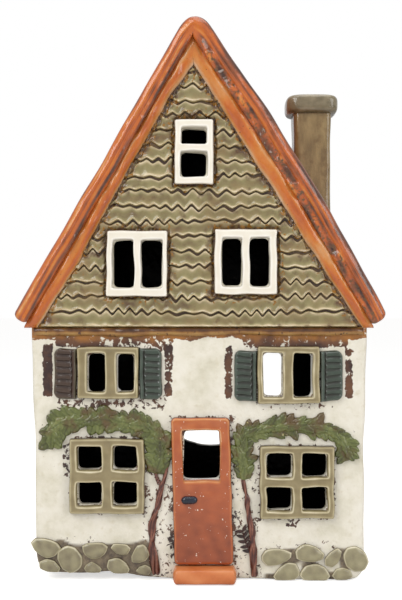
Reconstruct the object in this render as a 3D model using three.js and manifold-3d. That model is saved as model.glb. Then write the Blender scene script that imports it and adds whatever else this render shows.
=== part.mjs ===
// House tea light holder: a slab-built, glazed pottery house with its applied clay pieces.
// Millimetres, +Z up. The facade looks along -Y and the house rests on z = 0.
import * as THREE from "three";
import { mergeVertices } from "three/addons/utils/BufferGeometryUtils.js";
import Module from "manifold-3d";

const wasm = await Module();
wasm.setup();

// Clay body
const bodyWidth = 140;
const bodyDepth = 84;
const wallThickness = 6;
const ledgeHeight = 107.5; // top of the plastered storey
const leftFootLift = 3; // the hand-cut foot stands off the table at its left end
const leftFootLength = 31.5; // how far it runs in from the corner before it comes down
const leftFootRadius = 8;
const rightFootRadius = 7;
const wallEdge = 1.5; // softened arrises of the front and back walls

// Base plate inside the walls, on a foot that is set back from them
const plateTop = 7;
const plateBottom = 3.5;
const footInset = 8;

// Roof slabs
const leftPitch = THREE.MathUtils.degToRad(60);
const rightPitch = THREE.MathUtils.degToRad(58.2);
const eavesOverhang = 9;
const eavesEndRise = 4.5; // tip of the eaves above the ledge
const frontOverhang = 6;
const backOverhang = 4;
const leftRoofThickness = 6.6;
const rightRoofThickness = 7.6;
const rightRoofBow = 2;
const ridgeRadius = 5.9;
const eavesCornerRadius = 2.6;
const roofEdge = 1.8;

// Openings
const rearOpeningDiameter = 78;
const rearOpeningX = 5.6;
const rearOpeningHeight = 85;
const flueDiameter = 9;

// Chimney
const chimneyX = 50.8;
const chimneyY = 33.8;
const stackWidth = 16.7;
const stackDepth = 17.5;
const stackTop = 203.2;
const rimWidth = 23.4;
const rimHeight = 8.4;
const rimRoll = 3.4;
const collarReach = 1.4;
const collarRise = 4.2;

// Gap between pieces that meet on a slant, and around pieces set into others
const seatGap = 0.3;

const halfWidth = bodyWidth / 2;
const behind = 1; // how far a pad is drawn behind the facade before its back is cut flat
const far = 400;

// Ridge: where two slopes of different pitch meet, rising from level eaves
const eavesTip = halfWidth + eavesOverhang;
const eavesTipZ = ledgeHeight + eavesEndRise;
const tanLeft = Math.tan(leftPitch);
const tanRight = Math.tan(rightPitch);
const ridgeX = eavesTip * (tanRight - tanLeft) / (tanRight + tanLeft);
const ridgeZ = eavesTipZ + (eavesTip + ridgeX) * tanLeft;

// Height of a line that runs parallel to a slope, so far below its outer face
function leftLine(x, depth) {
  return ridgeZ - (ridgeX - x) * tanLeft - depth / Math.cos(leftPitch);
}
function rightLine(x, depth) {
  return ridgeZ - (x - ridgeX) * tanRight - depth / Math.cos(rightPitch);
}

// Point under the ridge where two such lines cross
function peak(leftDepth, rightDepth) {
  const drop = rightLine(ridgeX, rightDepth) - leftLine(ridgeX, leftDepth);
  const x = ridgeX + drop / (tanLeft + tanRight);
  return [x, leftLine(x, leftDepth)];
}

// Across position where a line meets a height
function leftReach(z, depth) {
  return ridgeX - (ridgeZ - depth / Math.cos(leftPitch) - z) / tanLeft;
}
function rightReach(z, depth) {
  return ridgeX + (ridgeZ - depth / Math.cos(rightPitch) - z) / tanRight;
}

// Outline in the plane of the facade (x across, y up), every corner rounded
function roundedOutline(points, radius) {
  const shape = new THREE.Shape();
  const corners = points.map(([x, z]) => new THREE.Vector2(x, z));
  corners.forEach((corner, i) => {
    const before = corners.at(i - 1);
    const after = corners[(i + 1) % corners.length];
    const cutBefore = Math.min(radius / corner.distanceTo(before), 0.48);
    const cutAfter = Math.min(radius / corner.distanceTo(after), 0.48);
    const start = corner.clone().lerp(before, cutBefore);
    const end = corner.clone().lerp(after, cutAfter);
    if (i === 0) shape.moveTo(start.x, start.y);
    else shape.lineTo(start.x, start.y);
    shape.quadraticCurveTo(corner.x, corner.y, end.x, end.y);
  });
  shape.closePath();
  return shape;
}

function plainOutline(points) {
  return new THREE.Shape(points.map(([x, z]) => new THREE.Vector2(x, z)));
}

function rectangle(x, z, width, height) {
  const [w, h] = [width / 2, height / 2];
  return [[x - w, z - h], [x + w, z - h], [x + w, z + h], [x - w, z + h]];
}

// Geometry to solid and back
function solid(geometry) {
  const bare = geometry.index ? geometry.toNonIndexed() : geometry.clone();
  bare.deleteAttribute("normal");
  bare.deleteAttribute("uv");
  const welded = mergeVertices(bare, 1e-4);
  return new wasm.Manifold(new wasm.Mesh({
    numProp: 3,
    vertProperties: new Float32Array(welded.attributes.position.array),
    triVerts: new Uint32Array(welded.index.array),
  }));
}

function geometryOf(manifold) {
  const { vertProperties, triVerts } = manifold.getMesh();
  const geometry = new THREE.BufferGeometry();
  geometry.setAttribute("position", new THREE.BufferAttribute(vertProperties, 3));
  geometry.setIndex(new THREE.BufferAttribute(triVerts, 1));
  geometry.computeVertexNormals();
  return geometry;
}

// Slab of an outline between two depths. The drawing's y becomes height.
function slabGeometry(shape, front, back, curveSegments = 3) {
  const settings = { depth: back - front, bevelEnabled: false, curveSegments };
  return new THREE.ExtrudeGeometry(shape, settings).rotateX(Math.PI / 2).translate(0, back, 0);
}

function slab(shape, front, back, curveSegments = 3) {
  return solid(slabGeometry(shape, front, back, curveSegments));
}

// The same with softened arrises all round, front and back
function softSlab(shape, front, back, edge, curveSegments = 3, bevelSegments = 2) {
  const geometry = new THREE.ExtrudeGeometry(shape, {
    depth: back - front - 2 * edge,
    bevelThickness: edge,
    bevelSize: edge,
    bevelOffset: -edge,
    bevelSegments,
    curveSegments,
  });
  return solid(geometry.rotateX(Math.PI / 2).translate(0, back - edge, 0));
}

// Bar whose section is drawn in depth and height, then carried across the facade
function crossBar(section, width, edge = 0) {
  const across = new THREE.Matrix4().makeBasis(
    new THREE.Vector3(0, 1, 0), new THREE.Vector3(0, 0, 1), new THREE.Vector3(1, 0, 0));
  const geometry = new THREE.ExtrudeGeometry(section, {
    depth: width - 2 * edge,
    bevelEnabled: edge > 0,
    bevelThickness: edge,
    bevelSize: edge,
    bevelOffset: -edge,
    bevelSegments: 2,
    curveSegments: 4,
  });
  return solid(geometry.applyMatrix4(across).translate(edge - width / 2, 0, 0));
}

function block(x0, x1, y0, y1, z0, z1) {
  const box = new THREE.BoxGeometry(x1 - x0, y1 - y0, z1 - z0);
  return solid(box.translate((x0 + x1) / 2, (y0 + y1) / 2, (z0 + z1) / 2));
}

const behindFacade = block(-far, far, 0, far, -far, far);

// Piece pressed on the facade: soft front edge, flat back on y = 0
function pad(shape, height, edge, bevelSegments = 2) {
  return softSlab(shape, -height, behind + edge, edge, 2, bevelSegments).subtract(behindFacade);
}

function tubeAlong(points, radius, steps, sides = 6) {
  const section = new THREE.Shape();
  for (let i = 0; i < sides; i += 1) {
    const angle = (2 * Math.PI * i) / sides;
    const [x, y] = [radius * Math.cos(angle), radius * Math.sin(angle)];
    if (i === 0) section.moveTo(x, y);
    else section.lineTo(x, y);
  }
  section.closePath();
  const extrudePath = new THREE.CatmullRomCurve3(points);
  return solid(new THREE.ExtrudeGeometry(section, { steps, extrudePath, bevelEnabled: false }));
}

// The assembly
const body = new THREE.Group();
const roof = new THREE.Group();
const facade = new THREE.Group();

function addPiece(group, name, manifold, color, roughness, place = [0, 0, 0]) {
  const material = new THREE.MeshStandardMaterial({ color, roughness, metalness: 0 });
  const mesh = new THREE.Mesh(geometryOf(manifold), material);
  mesh.name = name;
  mesh.position.set(...place);
  group.add(mesh);
}

// Door and windows, by centre and outside size. side, rail and bar are the frame's strips.
const door = {
  x: 0.9, width: 25.3, bottom: 6.8, top: 69.2, lean: 1.7, thickness: 3, edge: 1.1,
  pane: { x: 0.6, z: 53.2, width: 15.6, height: 21 },
};
const doorLeft = door.x - door.width / 2;
const doorRight = door.x + door.width / 2;
const leftBay = (doorLeft - halfWidth) / 2;
const rightBay = (doorRight + halfWidth) / 2;

const windows = {
  attic_window_frame: {
    x: ridgeX + 0.3, z: ridgeZ - 62.4, width: 16.7, height: 27.8,
    side: 2.9, rail: 3.6, bar: 3.3, columns: 1, rowShares: [0.61, 0.39], shift: 0, proud: 4.2,
  },
  left_gable_window_frame: {
    x: ridgeX - 23.9, z: ledgeHeight + 26.8, width: 26, height: 28,
    side: 2.5, rail: 4, bar: 3.2, columns: 2, rowShares: [1], shift: 0.3, proud: 4.2,
  },
  right_gable_window_frame: {
    x: ridgeX + 22.2, z: ledgeHeight + 27.6, width: 26.8, height: 27.7,
    side: 3.4, rail: 3.7, bar: 3.5, columns: 2, rowShares: [1], shift: 0, proud: 4.2,
  },
  left_upper_window_frame: {
    x: leftBay + 1.9, z: ledgeHeight - 19.4, width: 26.2, height: 22.3,
    side: 3.3, rail: 3.1, bar: 5.2, columns: 2, rowShares: [1], shift: 1.2, proud: 3,
  },
  right_upper_window_frame: {
    x: rightBay - 4.2, z: ledgeHeight - 20.3, width: 26.6, height: 24.7,
    side: 2.9, rail: 3.1, bar: 4.8, columns: 2, rowShares: [1], shift: -0.3, proud: 3,
  },
  left_lower_window_frame: {
    x: leftBay + 1.5, z: 44.4, width: 32, height: 32,
    side: 3.5, rail: 3.4, bar: 5, columns: 2, rowShares: [0.5, 0.5], shift: 0, proud: 3,
  },
  right_lower_window_frame: {
    x: rightBay - 0.6, z: 41.7, width: 31.8, height: 31,
    side: 3.1, rail: 3.4, bar: 4.3, columns: 2, rowShares: [0.5, 0.5], shift: 0, proud: 3,
  },
};
const frameEdge = 0.8;
const frameCorner = 1.2;
const paneCorner = 1.4;

// Panes of a window as outlines about the window's own centre
function paneOutlines({ width, height, side, rail, bar, columns, rowShares, shift }) {
  const paneWidth = (width - 2 * side - (columns - 1) * bar) / columns;
  const glassHeight = height - 2 * rail - (rowShares.length - 1) * bar;
  const outlines = [];
  let bottom = rail - height / 2;
  for (const share of rowShares) {
    const paneHeight = share * glassHeight;
    for (let column = 0; column < columns; column += 1) {
      const x = side - width / 2 + column * (paneWidth + bar) + paneWidth / 2 + shift;
      outlines.push(rectangle(x, bottom + paneHeight / 2, paneWidth, paneHeight));
    }
    bottom += paneHeight + bar;
  }
  return outlines;
}

function shifted(points, x, z) {
  return points.map(([px, pz]) => [px + x, pz + z]);
}

// Prism that keeps other pieces off a window
function windowFootprint({ x, z, width, height }, clearance) {
  const outline = rectangle(x, z, width + 2 * clearance, height + 2 * clearance);
  return slab(plainOutline(outline), -far, far);
}

// Walls: one outline serves front and back, the side walls follow its foot and eaves
const leftTop = leftRoofThickness + seatGap;
const rightTop = rightRoofThickness + seatGap;

function gableOutline() {
  const shape = new THREE.Shape();
  shape.moveTo(-halfWidth + leftFootRadius, leftFootLift);
  shape.lineTo(-halfWidth + leftFootLength, leftFootLift);
  shape.lineTo(doorLeft, 0);
  shape.lineTo(halfWidth - rightFootRadius, 0);
  shape.quadraticCurveTo(halfWidth, 0, halfWidth, rightFootRadius);
  shape.lineTo(halfWidth, rightLine(halfWidth, rightTop));
  shape.lineTo(...peak(leftTop, rightTop));
  shape.lineTo(-halfWidth, leftLine(-halfWidth, leftTop));
  shape.lineTo(-halfWidth, leftFootLift + leftFootRadius);
  shape.quadraticCurveTo(-halfWidth, leftFootLift, -halfWidth + leftFootRadius, leftFootLift);
  return shape;
}

function addWalls() {
  const inside = bodyDepth - wallThickness;
  const gable = gableOutline();

  let front = softSlab(gable, 0, wallThickness + 2 * wallEdge, wallEdge)
    .subtract(block(-far, far, wallThickness, far, -far, far));
  for (const window of Object.values(windows)) {
    for (const pane of paneOutlines(window)) {
      const outline = roundedOutline(shifted(pane, window.x, window.z), paneCorner);
      front = front.subtract(slab(outline, -far, far, 2));
    }
  }
  front = front.subtract(slab(doorPane(), -far, far, 2));
  addPiece(body, "front_wall", front, "#e7dfcd", 0.35);

  const openingRadius = rearOpeningDiameter / 2;
  const opening = new THREE.CylinderGeometry(openingRadius, openingRadius, bodyDepth, 40)
    .translate(rearOpeningX, bodyDepth, rearOpeningHeight);
  const back = softSlab(gable, inside - 2 * wallEdge, bodyDepth, wallEdge)
    .subtract(block(-far, far, -far, inside, -far, far))
    .subtract(solid(opening));
  addPiece(body, "back_wall", back, "#e7dfcd", 0.35);

  // A side wall is the part of the gable outline that lies within a wall's thickness of the side
  const core = slab(gable, wallThickness, inside);
  const leftSide = core.intersect(block(-far, wallThickness - halfWidth, -far, far, -far, far));
  const rightSide = core.intersect(block(halfWidth - wallThickness, far, -far, far, -far, far));
  addPiece(body, "left_wall", leftSide, "#e7dfcd", 0.35);
  addPiece(body, "right_wall", rightSide, "#e7dfcd", 0.35);

  const between = halfWidth - wallThickness;
  const plate = block(-between, between, wallThickness, inside, plateBottom, plateTop);
  const foot = block(footInset - between, between - footInset,
    wallThickness + footInset, inside - footInset, 0, plateTop);
  addPiece(body, "base_slab", plate.add(foot), "#b9a88c", 0.6);
}

// Roof: one rounded section, parted at the ridge into two slabs
function slopePoint(side, along, depth) {
  const pitch = side < 0 ? leftPitch : rightPitch;
  const x = side * (eavesTip - along * Math.cos(pitch) - depth * Math.sin(pitch));
  const z = eavesTipZ + along * Math.sin(pitch) - depth * Math.cos(pitch);
  return [x, z];
}

function drawOuterRoof(shape) {
  const halfApex = (Math.PI - leftPitch - rightPitch) / 2;
  const tangent = ridgeRadius / Math.tan(halfApex);
  const ridgeTop = ridgeZ - ridgeRadius / Math.sin(halfApex) + ridgeRadius;
  const leftLength = (ridgeX + eavesTip) / Math.cos(leftPitch);
  const rightLength = (eavesTip - ridgeX) / Math.cos(rightPitch);
  const toTop = ridgeZ - ridgeTop;
  shape.moveTo(...slopePoint(-1, eavesCornerRadius, 0));
  shape.lineTo(...slopePoint(-1, leftLength - tangent, 0));
  shape.quadraticCurveTo(ridgeX - toTop / tanLeft, ridgeTop, ridgeX, ridgeTop);
  shape.quadraticCurveTo(ridgeX + toTop / tanRight, ridgeTop, ...slopePoint(1, rightLength - tangent, 0));
  const bowControl = slopePoint(1, rightLength / 2, -2 * rightRoofBow);
  shape.quadraticCurveTo(...bowControl, ...slopePoint(1, eavesCornerRadius, 0));
}

function roofSection() {
  const r = eavesCornerRadius;
  const shape = new THREE.Shape();
  drawOuterRoof(shape);
  shape.quadraticCurveTo(...slopePoint(1, 0, 0), ...slopePoint(1, 0, r));
  shape.lineTo(...slopePoint(1, 0, rightRoofThickness - r));
  shape.quadraticCurveTo(
    ...slopePoint(1, 0, rightRoofThickness), ...slopePoint(1, r, rightRoofThickness));
  shape.lineTo(...peak(leftRoofThickness, rightRoofThickness));
  shape.lineTo(...slopePoint(-1, r, leftRoofThickness));
  shape.quadraticCurveTo(
    ...slopePoint(-1, 0, leftRoofThickness), ...slopePoint(-1, 0, leftRoofThickness - r));
  shape.lineTo(...slopePoint(-1, 0, r));
  shape.quadraticCurveTo(...slopePoint(-1, 0, 0), ...slopePoint(-1, r, 0));
  return shape;
}

// Everything under the roof's outer face, lifted to leave a seat for the chimney
function underRoof(lift) {
  const shape = new THREE.Shape();
  drawOuterRoof(shape);
  shape.lineTo(eavesTip, 0);
  shape.lineTo(-eavesTip, 0);
  return solid(slabGeometry(shape, -far, far, 8).translate(0, 0, lift / Math.cos(rightPitch)));
}

function flue() {
  const bore = new THREE.CylinderGeometry(flueDiameter / 2, flueDiameter / 2, far, 16);
  return solid(bore.rotateX(Math.PI / 2).translate(chimneyX, chimneyY, ledgeHeight + far / 2));
}

function addRoof() {
  const whole = softSlab(roofSection(), -frontOverhang, bodyDepth + backOverhang, roofEdge, 8);
  const rightHalf = block(ridgeX, far, -far, far, -far, far);
  addPiece(roof, "left_roof_slab", whole.subtract(rightHalf), "#b5652f", 0.22);
  addPiece(roof, "right_roof_slab", whole.intersect(rightHalf).subtract(flue()), "#b5652f", 0.22);
}

// Chimney: a square stack luted on with a low collar, under a rolled rim
function plan(width, depth, radius) {
  return roundedOutline(rectangle(0, 0, width, depth), radius);
}

function column(shape, bottom, top, edge) {
  const geometry = new THREE.ExtrudeGeometry(shape, {
    depth: top - bottom - 2 * edge,
    bevelEnabled: edge > 0,
    bevelThickness: edge,
    bevelSize: edge,
    bevelOffset: -edge,
    bevelSegments: 3,
    curveSegments: 3,
  });
  return solid(geometry.translate(chimneyX, chimneyY, bottom + edge));
}

function addChimney() {
  const stack = column(plan(stackWidth, stackDepth, 2.5), ledgeHeight, stackTop, 0);
  const collarPlan = plan(stackWidth + 2 * collarReach, stackDepth + 2 * collarReach, 3.5);
  const collar = column(collarPlan, ledgeHeight, stackTop, 0)
    .intersect(underRoof(seatGap + collarRise * Math.cos(rightPitch)));
  const seated = stack.add(collar).subtract(underRoof(seatGap)).subtract(flue());
  addPiece(roof, "chimney_stack", seated, "#93795a", 0.3);

  const rim = column(plan(rimWidth, rimWidth, 5), stackTop, stackTop + rimHeight, rimRoll);
  addPiece(roof, "chimney_rim", rim.subtract(flue()), "#877b61", 0.25);
}

// Window frames, each modelled about its own centre
function addWindows() {
  for (const [name, window] of Object.entries(windows)) {
    const outline = roundedOutline(rectangle(0, 0, window.width, window.height), frameCorner);
    outline.holes = paneOutlines(window).map((pane) => roundedOutline(pane, paneCorner));
    const color = window.z > ledgeHeight ? "#ece5d6" : "#938463";
    addPiece(facade, name, pad(outline, window.proud, frameEdge, 1), color, 0.25, [window.x, 0, window.z]);
  }
}

// Door, its rolled handle and the doorstep
function doorPane() {
  const { x, z, width, height } = door.pane;
  return roundedOutline(rectangle(x, z, width, height), paneCorner);
}

function doorOutline(clearance) {
  const [bottom, top] = [door.bottom - clearance, door.top + clearance];
  const [left, right] = [doorLeft - clearance, doorRight + clearance];
  const lean = door.lean / 2;
  return [[left + lean, bottom], [right + lean, bottom], [right - lean, top], [left - lean, top]];
}

const handle = { x: 7.7, z: 34.5, length: 6.8, diameter: 3.4 };
const step = { x: 2, width: 27, depth: 9.4, height: 6.6, round: 3, edge: 1.4 };

function addDoor() {
  const outline = roundedOutline(doorOutline(0), 1.8);
  outline.holes = [doorPane()];
  addPiece(facade, "door", pad(outline, door.thickness, door.edge), "#ab5f3c", 0.25);

  const radius = handle.diameter / 2;
  const roll = new THREE.CapsuleGeometry(radius, handle.length - handle.diameter, 3, 8)
    .rotateZ(Math.PI / 2).translate(doorLeft + handle.x - door.lean / 4, -door.thickness, handle.z);
  const doorFront = block(-far, far, -door.thickness, far, -far, far);
  addPiece(facade, "door_handle", solid(roll).subtract(doorFront), "#1d2233", 0.15);

  const { depth, height, round, edge } = step;
  const back = behind + round;
  const section = roundedOutline([[-depth, 0], [back, 0], [back, height], [-depth, height]], round);
  const bar = crossBar(section, step.width, edge).subtract(behindFacade);
  addPiece(facade, "doorstep", bar, "#c5713f", 0.2, [step.x, 0, 0]);
}

// Louvred shutters beside the upper windows, each with a plain hinge stile next to the frame
const shutterWidth = 9.6;
const shutterHeight = 21.6;
const shutterStile = 2;
const shutterProud = 2.2;
const shutterRound = 3;
const shutterDrop = 0.4; // centre of a shutter below its window's
const louvreCount = 8;
const louvreDepth = 0.9;

function shutter(side) {
  const bottom = -shutterHeight / 2;
  const pitch = shutterHeight / louvreCount;
  const teeth = [];
  for (let i = 0; i < louvreCount; i += 1) {
    teeth.push([-shutterProud, bottom + i * pitch]);
    teeth.push([louvreDepth - shutterProud, bottom + (i + 1) * pitch]);
  }
  const louvres = crossBar(plainOutline([[0, -bottom], [0, bottom], ...teeth]), shutterWidth);

  const inner = -side * shutterWidth / 2;
  const outer = side * shutterWidth / 2;
  const rounding = outer - side * shutterRound;
  const outline = new THREE.Shape();
  outline.moveTo(inner, bottom);
  outline.lineTo(rounding, bottom);
  outline.quadraticCurveTo(outer, bottom, outer, bottom + shutterRound);
  outline.lineTo(outer, -bottom - shutterRound);
  outline.quadraticCurveTo(outer, -bottom, rounding, -bottom);
  outline.lineTo(inner, -bottom);
  const stile = inner + side * shutterStile;
  const [from, to] = [Math.min(inner, stile), Math.max(inner, stile)];
  const stileBar = block(from, to, -shutterProud, 0, bottom, -bottom);
  return louvres.intersect(slab(outline, -far, far, 2)).add(stileBar);
}

function addShutters() {
  for (const window of ["left_upper_window", "right_upper_window"]) {
    const { x, z, width } = windows[`${window}_frame`];
    for (const [side, word] of [[-1, "left"], [1, "right"]]) {
      const centre = x + side * ((width + shutterWidth) / 2 + seatGap / 2);
      const place = [centre, 0, z - shutterDrop];
      addPiece(facade, `${window}_${word}_shutter`, shutter(side), "#41483c", 0.3, place);
    }
  }
}

// Applied clay strips under the roof slabs. Each width is [share of the way down, width].
const leftStrip = { outer: 7.1, widths: [[0, 5.6], [0.16, 3.8], [0.5, 4], [0.78, 5.6], [1, 4.4]] };
const rightStrip = { outer: 8.2, widths: [[0, 5.2], [0.2, 4.7], [0.5, 4.2], [0.78, 3.6], [1, 3.6]] };
const stripProud = 3.6;
const stripEdge = 1.4;
const shingleMargin = 0.5;

function stripOutline(side, grow) {
  const strip = side < 0 ? leftStrip : rightStrip;
  const reach = side < 0 ? leftReach : rightReach;
  const [, topZ] = peak(leftStrip.outer, rightStrip.outer);
  const past = 6; // drawn past the meeting plane and below the ledge, then cut there
  const [start, end] = [topZ + past, ledgeHeight - past];
  const outerDepth = strip.outer - grow;
  const inner = strip.widths.map(([share, width]) => {
    const z = topZ + share * (end - topZ);
    return [reach(z, strip.outer + width + grow), z];
  });
  const crossed = [reach(start, strip.outer + strip.widths[0][1] + grow), start];
  return [crossed, ...inner, [reach(end, outerDepth), end], [reach(start, outerDepth), start]];
}

// A strip keeps to its own side of the ridge, above the ledge and below the roof slab
function facadeStrip(side) {
  const [from, to] = side < 0 ? [-halfWidth, ridgeX] : [ridgeX, halfWidth];
  const strip = pad(plainOutline(stripOutline(side, 0)), stripProud, stripEdge)
    .intersect(block(from, to, -far, far, ledgeHeight, far))
    .intersect(slab(underSlabs(), -far, far));
  return clearOfWindows(strip);
}

function underSlabs() {
  return plainOutline([peak(leftTop, rightTop), [leftReach(0, leftTop), 0], [rightReach(0, rightTop), 0]]);
}

function clearOfWindows(piece) {
  const keepOff = (rest, window) => rest.subtract(windowFootprint(window, seatGap));
  return Object.values(windows).reduce(keepOff, piece);
}

// Rounded top edge of the plastered storey
const ledgeBand = { height: 3.8, proud: 1.8, edge: 1.2 };

function addGableTrim() {
  addPiece(facade, "left_bargeboard", facadeStrip(-1), "#bd7038", 0.3);
  addPiece(facade, "right_bargeboard", facadeStrip(1), "#bd6a34", 0.3);
  const { height, proud, edge } = ledgeBand;
  const band = rectangle(0, ledgeHeight - height / 2, bodyWidth - 2 * wallEdge, height);
  addPiece(facade, "ledge_band", pad(roundedOutline(band, edge), proud, edge * 0.75), "#a5763f", 0.3);
}

// Shingles: wavy courses from the ledge to the ridge, each thickest at its lower edge
const courseHeight = 6.4;
const wavePeriod = 4.9;
const waveHeight = 1.7;
const shingleProud = 2.8;
const shingleThinning = 1.5;
const courseOverlap = 1.9; // height of a course's slab in course heights
const shingleTuck = 3; // how far the field is drawn under the strips before it is cut along them

function course(index) {
  const z = ledgeHeight + index * courseHeight;
  const left = leftReach(z, leftStrip.outer) - wavePeriod;
  const right = rightReach(z, rightStrip.outer) + wavePeriod;
  const stagger = wavePeriod * ((index * 0.43) % 1);
  const count = Math.ceil((right - left) / wavePeriod) + 1;
  const points = [];
  for (let i = 0; i < count; i += 1) {
    const x = left - stagger + i * wavePeriod;
    const crest = waveHeight * (1 + 0.25 * Math.sin(2.1 * i + 1.3 * index));
    points.push([x, z + crest], [x + 0.3 * wavePeriod, z + 0.3 * crest]);
    points.push([x + 0.5 * wavePeriod, z], [x + 0.7 * wavePeriod, z + 0.3 * crest]);
  }
  const top = z + courseOverlap * courseHeight;
  points.push([points.at(-1)[0], top], [points[0][0], top]);

  // The face leans back as it rises above the course's foot
  const lean = shingleThinning / (top - z);
  const thinning = new THREE.Matrix4().set(
    1, 0, 0, 0,
    0, 1, lean, -lean * z,
    0, 0, 1, 0,
    0, 0, 0, 1);
  return solid(slabGeometry(plainOutline(points), -shingleProud, behind).applyMatrix4(thinning));
}

function addShingles() {
  const leftDepth = leftStrip.outer + shingleTuck;
  const rightDepth = rightStrip.outer + shingleTuck;
  const top = peak(leftDepth, rightDepth);
  const foot = [leftReach(ledgeHeight, leftDepth), rightReach(ledgeHeight, rightDepth)];
  const field = slab(plainOutline([top, ...foot.map((x) => [x, ledgeHeight])]), -far, 0);
  const courses = Math.ceil((top[1] - ledgeHeight) / courseHeight);
  let shingles = course(0);
  for (let index = 1; index < courses; index += 1) shingles = shingles.add(course(index));
  shingles = shingles.intersect(field);
  for (const side of [-1, 1]) {
    shingles = shingles.subtract(slab(plainOutline(stripOutline(side, shingleMargin)), -far, far));
  }
  addPiece(facade, "gable_shingles", clearOfWindows(shingles), "#a1947b", 0.3);
}

// Climbing vines: a twisted stem beside the door, and a garland over each lower window.
// Stem points are [distance from the door's edge, height, half the spread of the two strands].
const leftStem = [[3.2, 47, 0.2], [4.3, 40, 0.3], [6, 31.5, 0.4], [8.3, 24.5, 0.7], [8.6, 16, 0.9],
  [7.7, 9.7, 0.8], [6.8, 1.2, 1]];
const rightStem = [[4.5, 44, 0.2], [6.2, 36, 0.3], [6.6, 29, 0.5], [8.3, 21, 0.7], [8.9, 13, 0.8],
  [9.4, 0, 1.2]];
const strandRadius = 1.1;
const strandTwist = 0.75; // radians for each point along the stem

function stem(side, points, grow) {
  const edge = side < 0 ? doorLeft : doorRight;
  const strands = [0, Math.PI].map((phase) => {
    const route = points.map(([reach, z, spread], i) => {
      const turn = phase + i * strandTwist;
      const x = edge + side * reach + spread * Math.cos(turn);
      return new THREE.Vector3(x, -0.5 - 0.4 * Math.sin(turn), z);
    });
    return tubeAlong(route, strandRadius + grow, 2 * points.length);
  });
  return strands[0].add(strands[1]).subtract(behindFacade).intersect(block(-far, far, -far, far, 0, far));
}

// Broad ivy-like leaves on the left, slender ones on the right
const leftLeaf = { length: 8.4, width: 6.4, splay: THREE.MathUtils.degToRad(50) };
const rightLeaf = { length: 9.2, width: 4.4, splay: THREE.MathUtils.degToRad(38) };
const leafThickness = 2.4;
const leafPitch = 4.8;
const leafUnevenness = 0.15;
const leafRoot = 0.8; // how far a leaf starts behind its point on the vine
const garlandRadius = 2;

// Six-sided leaf with a raised middle, rooted at a point of the vine and turned to an angle
function leafBlade(x, z, angle, length, width, thickness) {
  const reach = length / 2 - leafRoot;
  const blade = new THREE.ConeGeometry(1, thickness, 6)
    .rotateX(Math.PI)
    .scale(width / 2, 1, length / 2)
    .rotateY(Math.PI / 2 - angle)
    .translate(x + Math.cos(angle) * reach, -thickness / 2, z + Math.sin(angle) * reach);
  return solid(blade);
}

// A garland grows from the stem up beside the door, over the window and down past its far side
function garland(side, window, points) {
  const edge = side < 0 ? doorLeft : doorRight;
  const bay = side * halfWidth - edge;
  const top = window.z + window.height / 2;
  const route = points.map(([share, rise]) => new THREE.Vector3(edge + share * bay, 0, top + rise));
  const path = new THREE.CatmullRomCurve3(route);
  const { length, width, splay } = side < 0 ? leftLeaf : rightLeaf;
  let vine = tubeAlong(route, garlandRadius, 18);
  const count = Math.round(path.getLength() / leafPitch);
  for (let i = 0; i <= count; i += 1) {
    const at = path.getPointAt(i / count);
    const along = path.getTangentAt(i / count);
    const heading = Math.atan2(along.z, along.x);
    for (const turn of [-1, 1]) {
      const angle = heading + turn * splay * (1 + leafUnevenness * Math.sin(2.4 * i + turn));
      const size = 1 + leafUnevenness * Math.sin(1.7 * i + 2 * turn);
      vine = vine.add(leafBlade(at.x, at.z, angle, size * length, size * width, leafThickness));
    }
  }
  return clearOfWindows(vine.subtract(behindFacade).subtract(doorway()));
}

function doorway() {
  return slab(plainOutline(doorOutline(seatGap)), -far, far);
}

// Garland points are [share of the way from the door to the corner, rise over the window's top]
const leftGarland = [[0.11, -11], [0.1, -4], [0.13, 3.5], [0.3, 6.2], [0.55, 8], [0.78, 7.4],
  [0.85, 4.4], [0.86, -1]];
const rightGarland = [[0.11, -9], [0.09, -2], [0.11, 5], [0.3, 7.2], [0.55, 8.2], [0.74, 6.6],
  [0.83, 2.4], [0.86, -3.5]];

// Sprig: short slender leaves that fan out from the right-hand stem
const sprig = {
  from: 5.6, bottom: 13.5, pitch: 2.7, count: 4, length: 5, width: 1.9, thickness: 1,
  angle: THREE.MathUtils.degToRad(152),
};

function addVines() {
  const sides = [
    [-1, "left", leftStem, leftGarland, windows.left_lower_window_frame],
    [1, "right", rightStem, rightGarland, windows.right_lower_window_frame],
  ];
  for (const [side, word, stemPoints, garlandPoints, window] of sides) {
    addPiece(facade, `${word}_vine_stem`, stem(side, stemPoints, 0), "#5b3a30", 0.35);
    const leaves = garland(side, window, garlandPoints).subtract(stem(side, stemPoints, seatGap));
    addPiece(facade, `${word}_foliage`, leaves, "#5f6740", 0.3);
  }

  const { bottom, pitch, count, length, width, thickness, angle } = sprig;
  const spine = new THREE.Vector3(doorRight + sprig.from, 0, bottom);
  let twig = tubeAlong([spine, spine.clone().setZ(bottom + pitch * count)], thickness / 2, 1);
  for (let i = 0; i < count; i += 1) {
    twig = twig.add(leafBlade(spine.x, bottom + (i + 0.5) * pitch, angle, length, width, thickness));
  }
  const clear = twig.subtract(behindFacade).subtract(stem(1, rightStem, seatGap)).subtract(doorway());
  addPiece(facade, "right_vine_sprig", clear, "#4a3f2c", 0.35);
}

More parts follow.
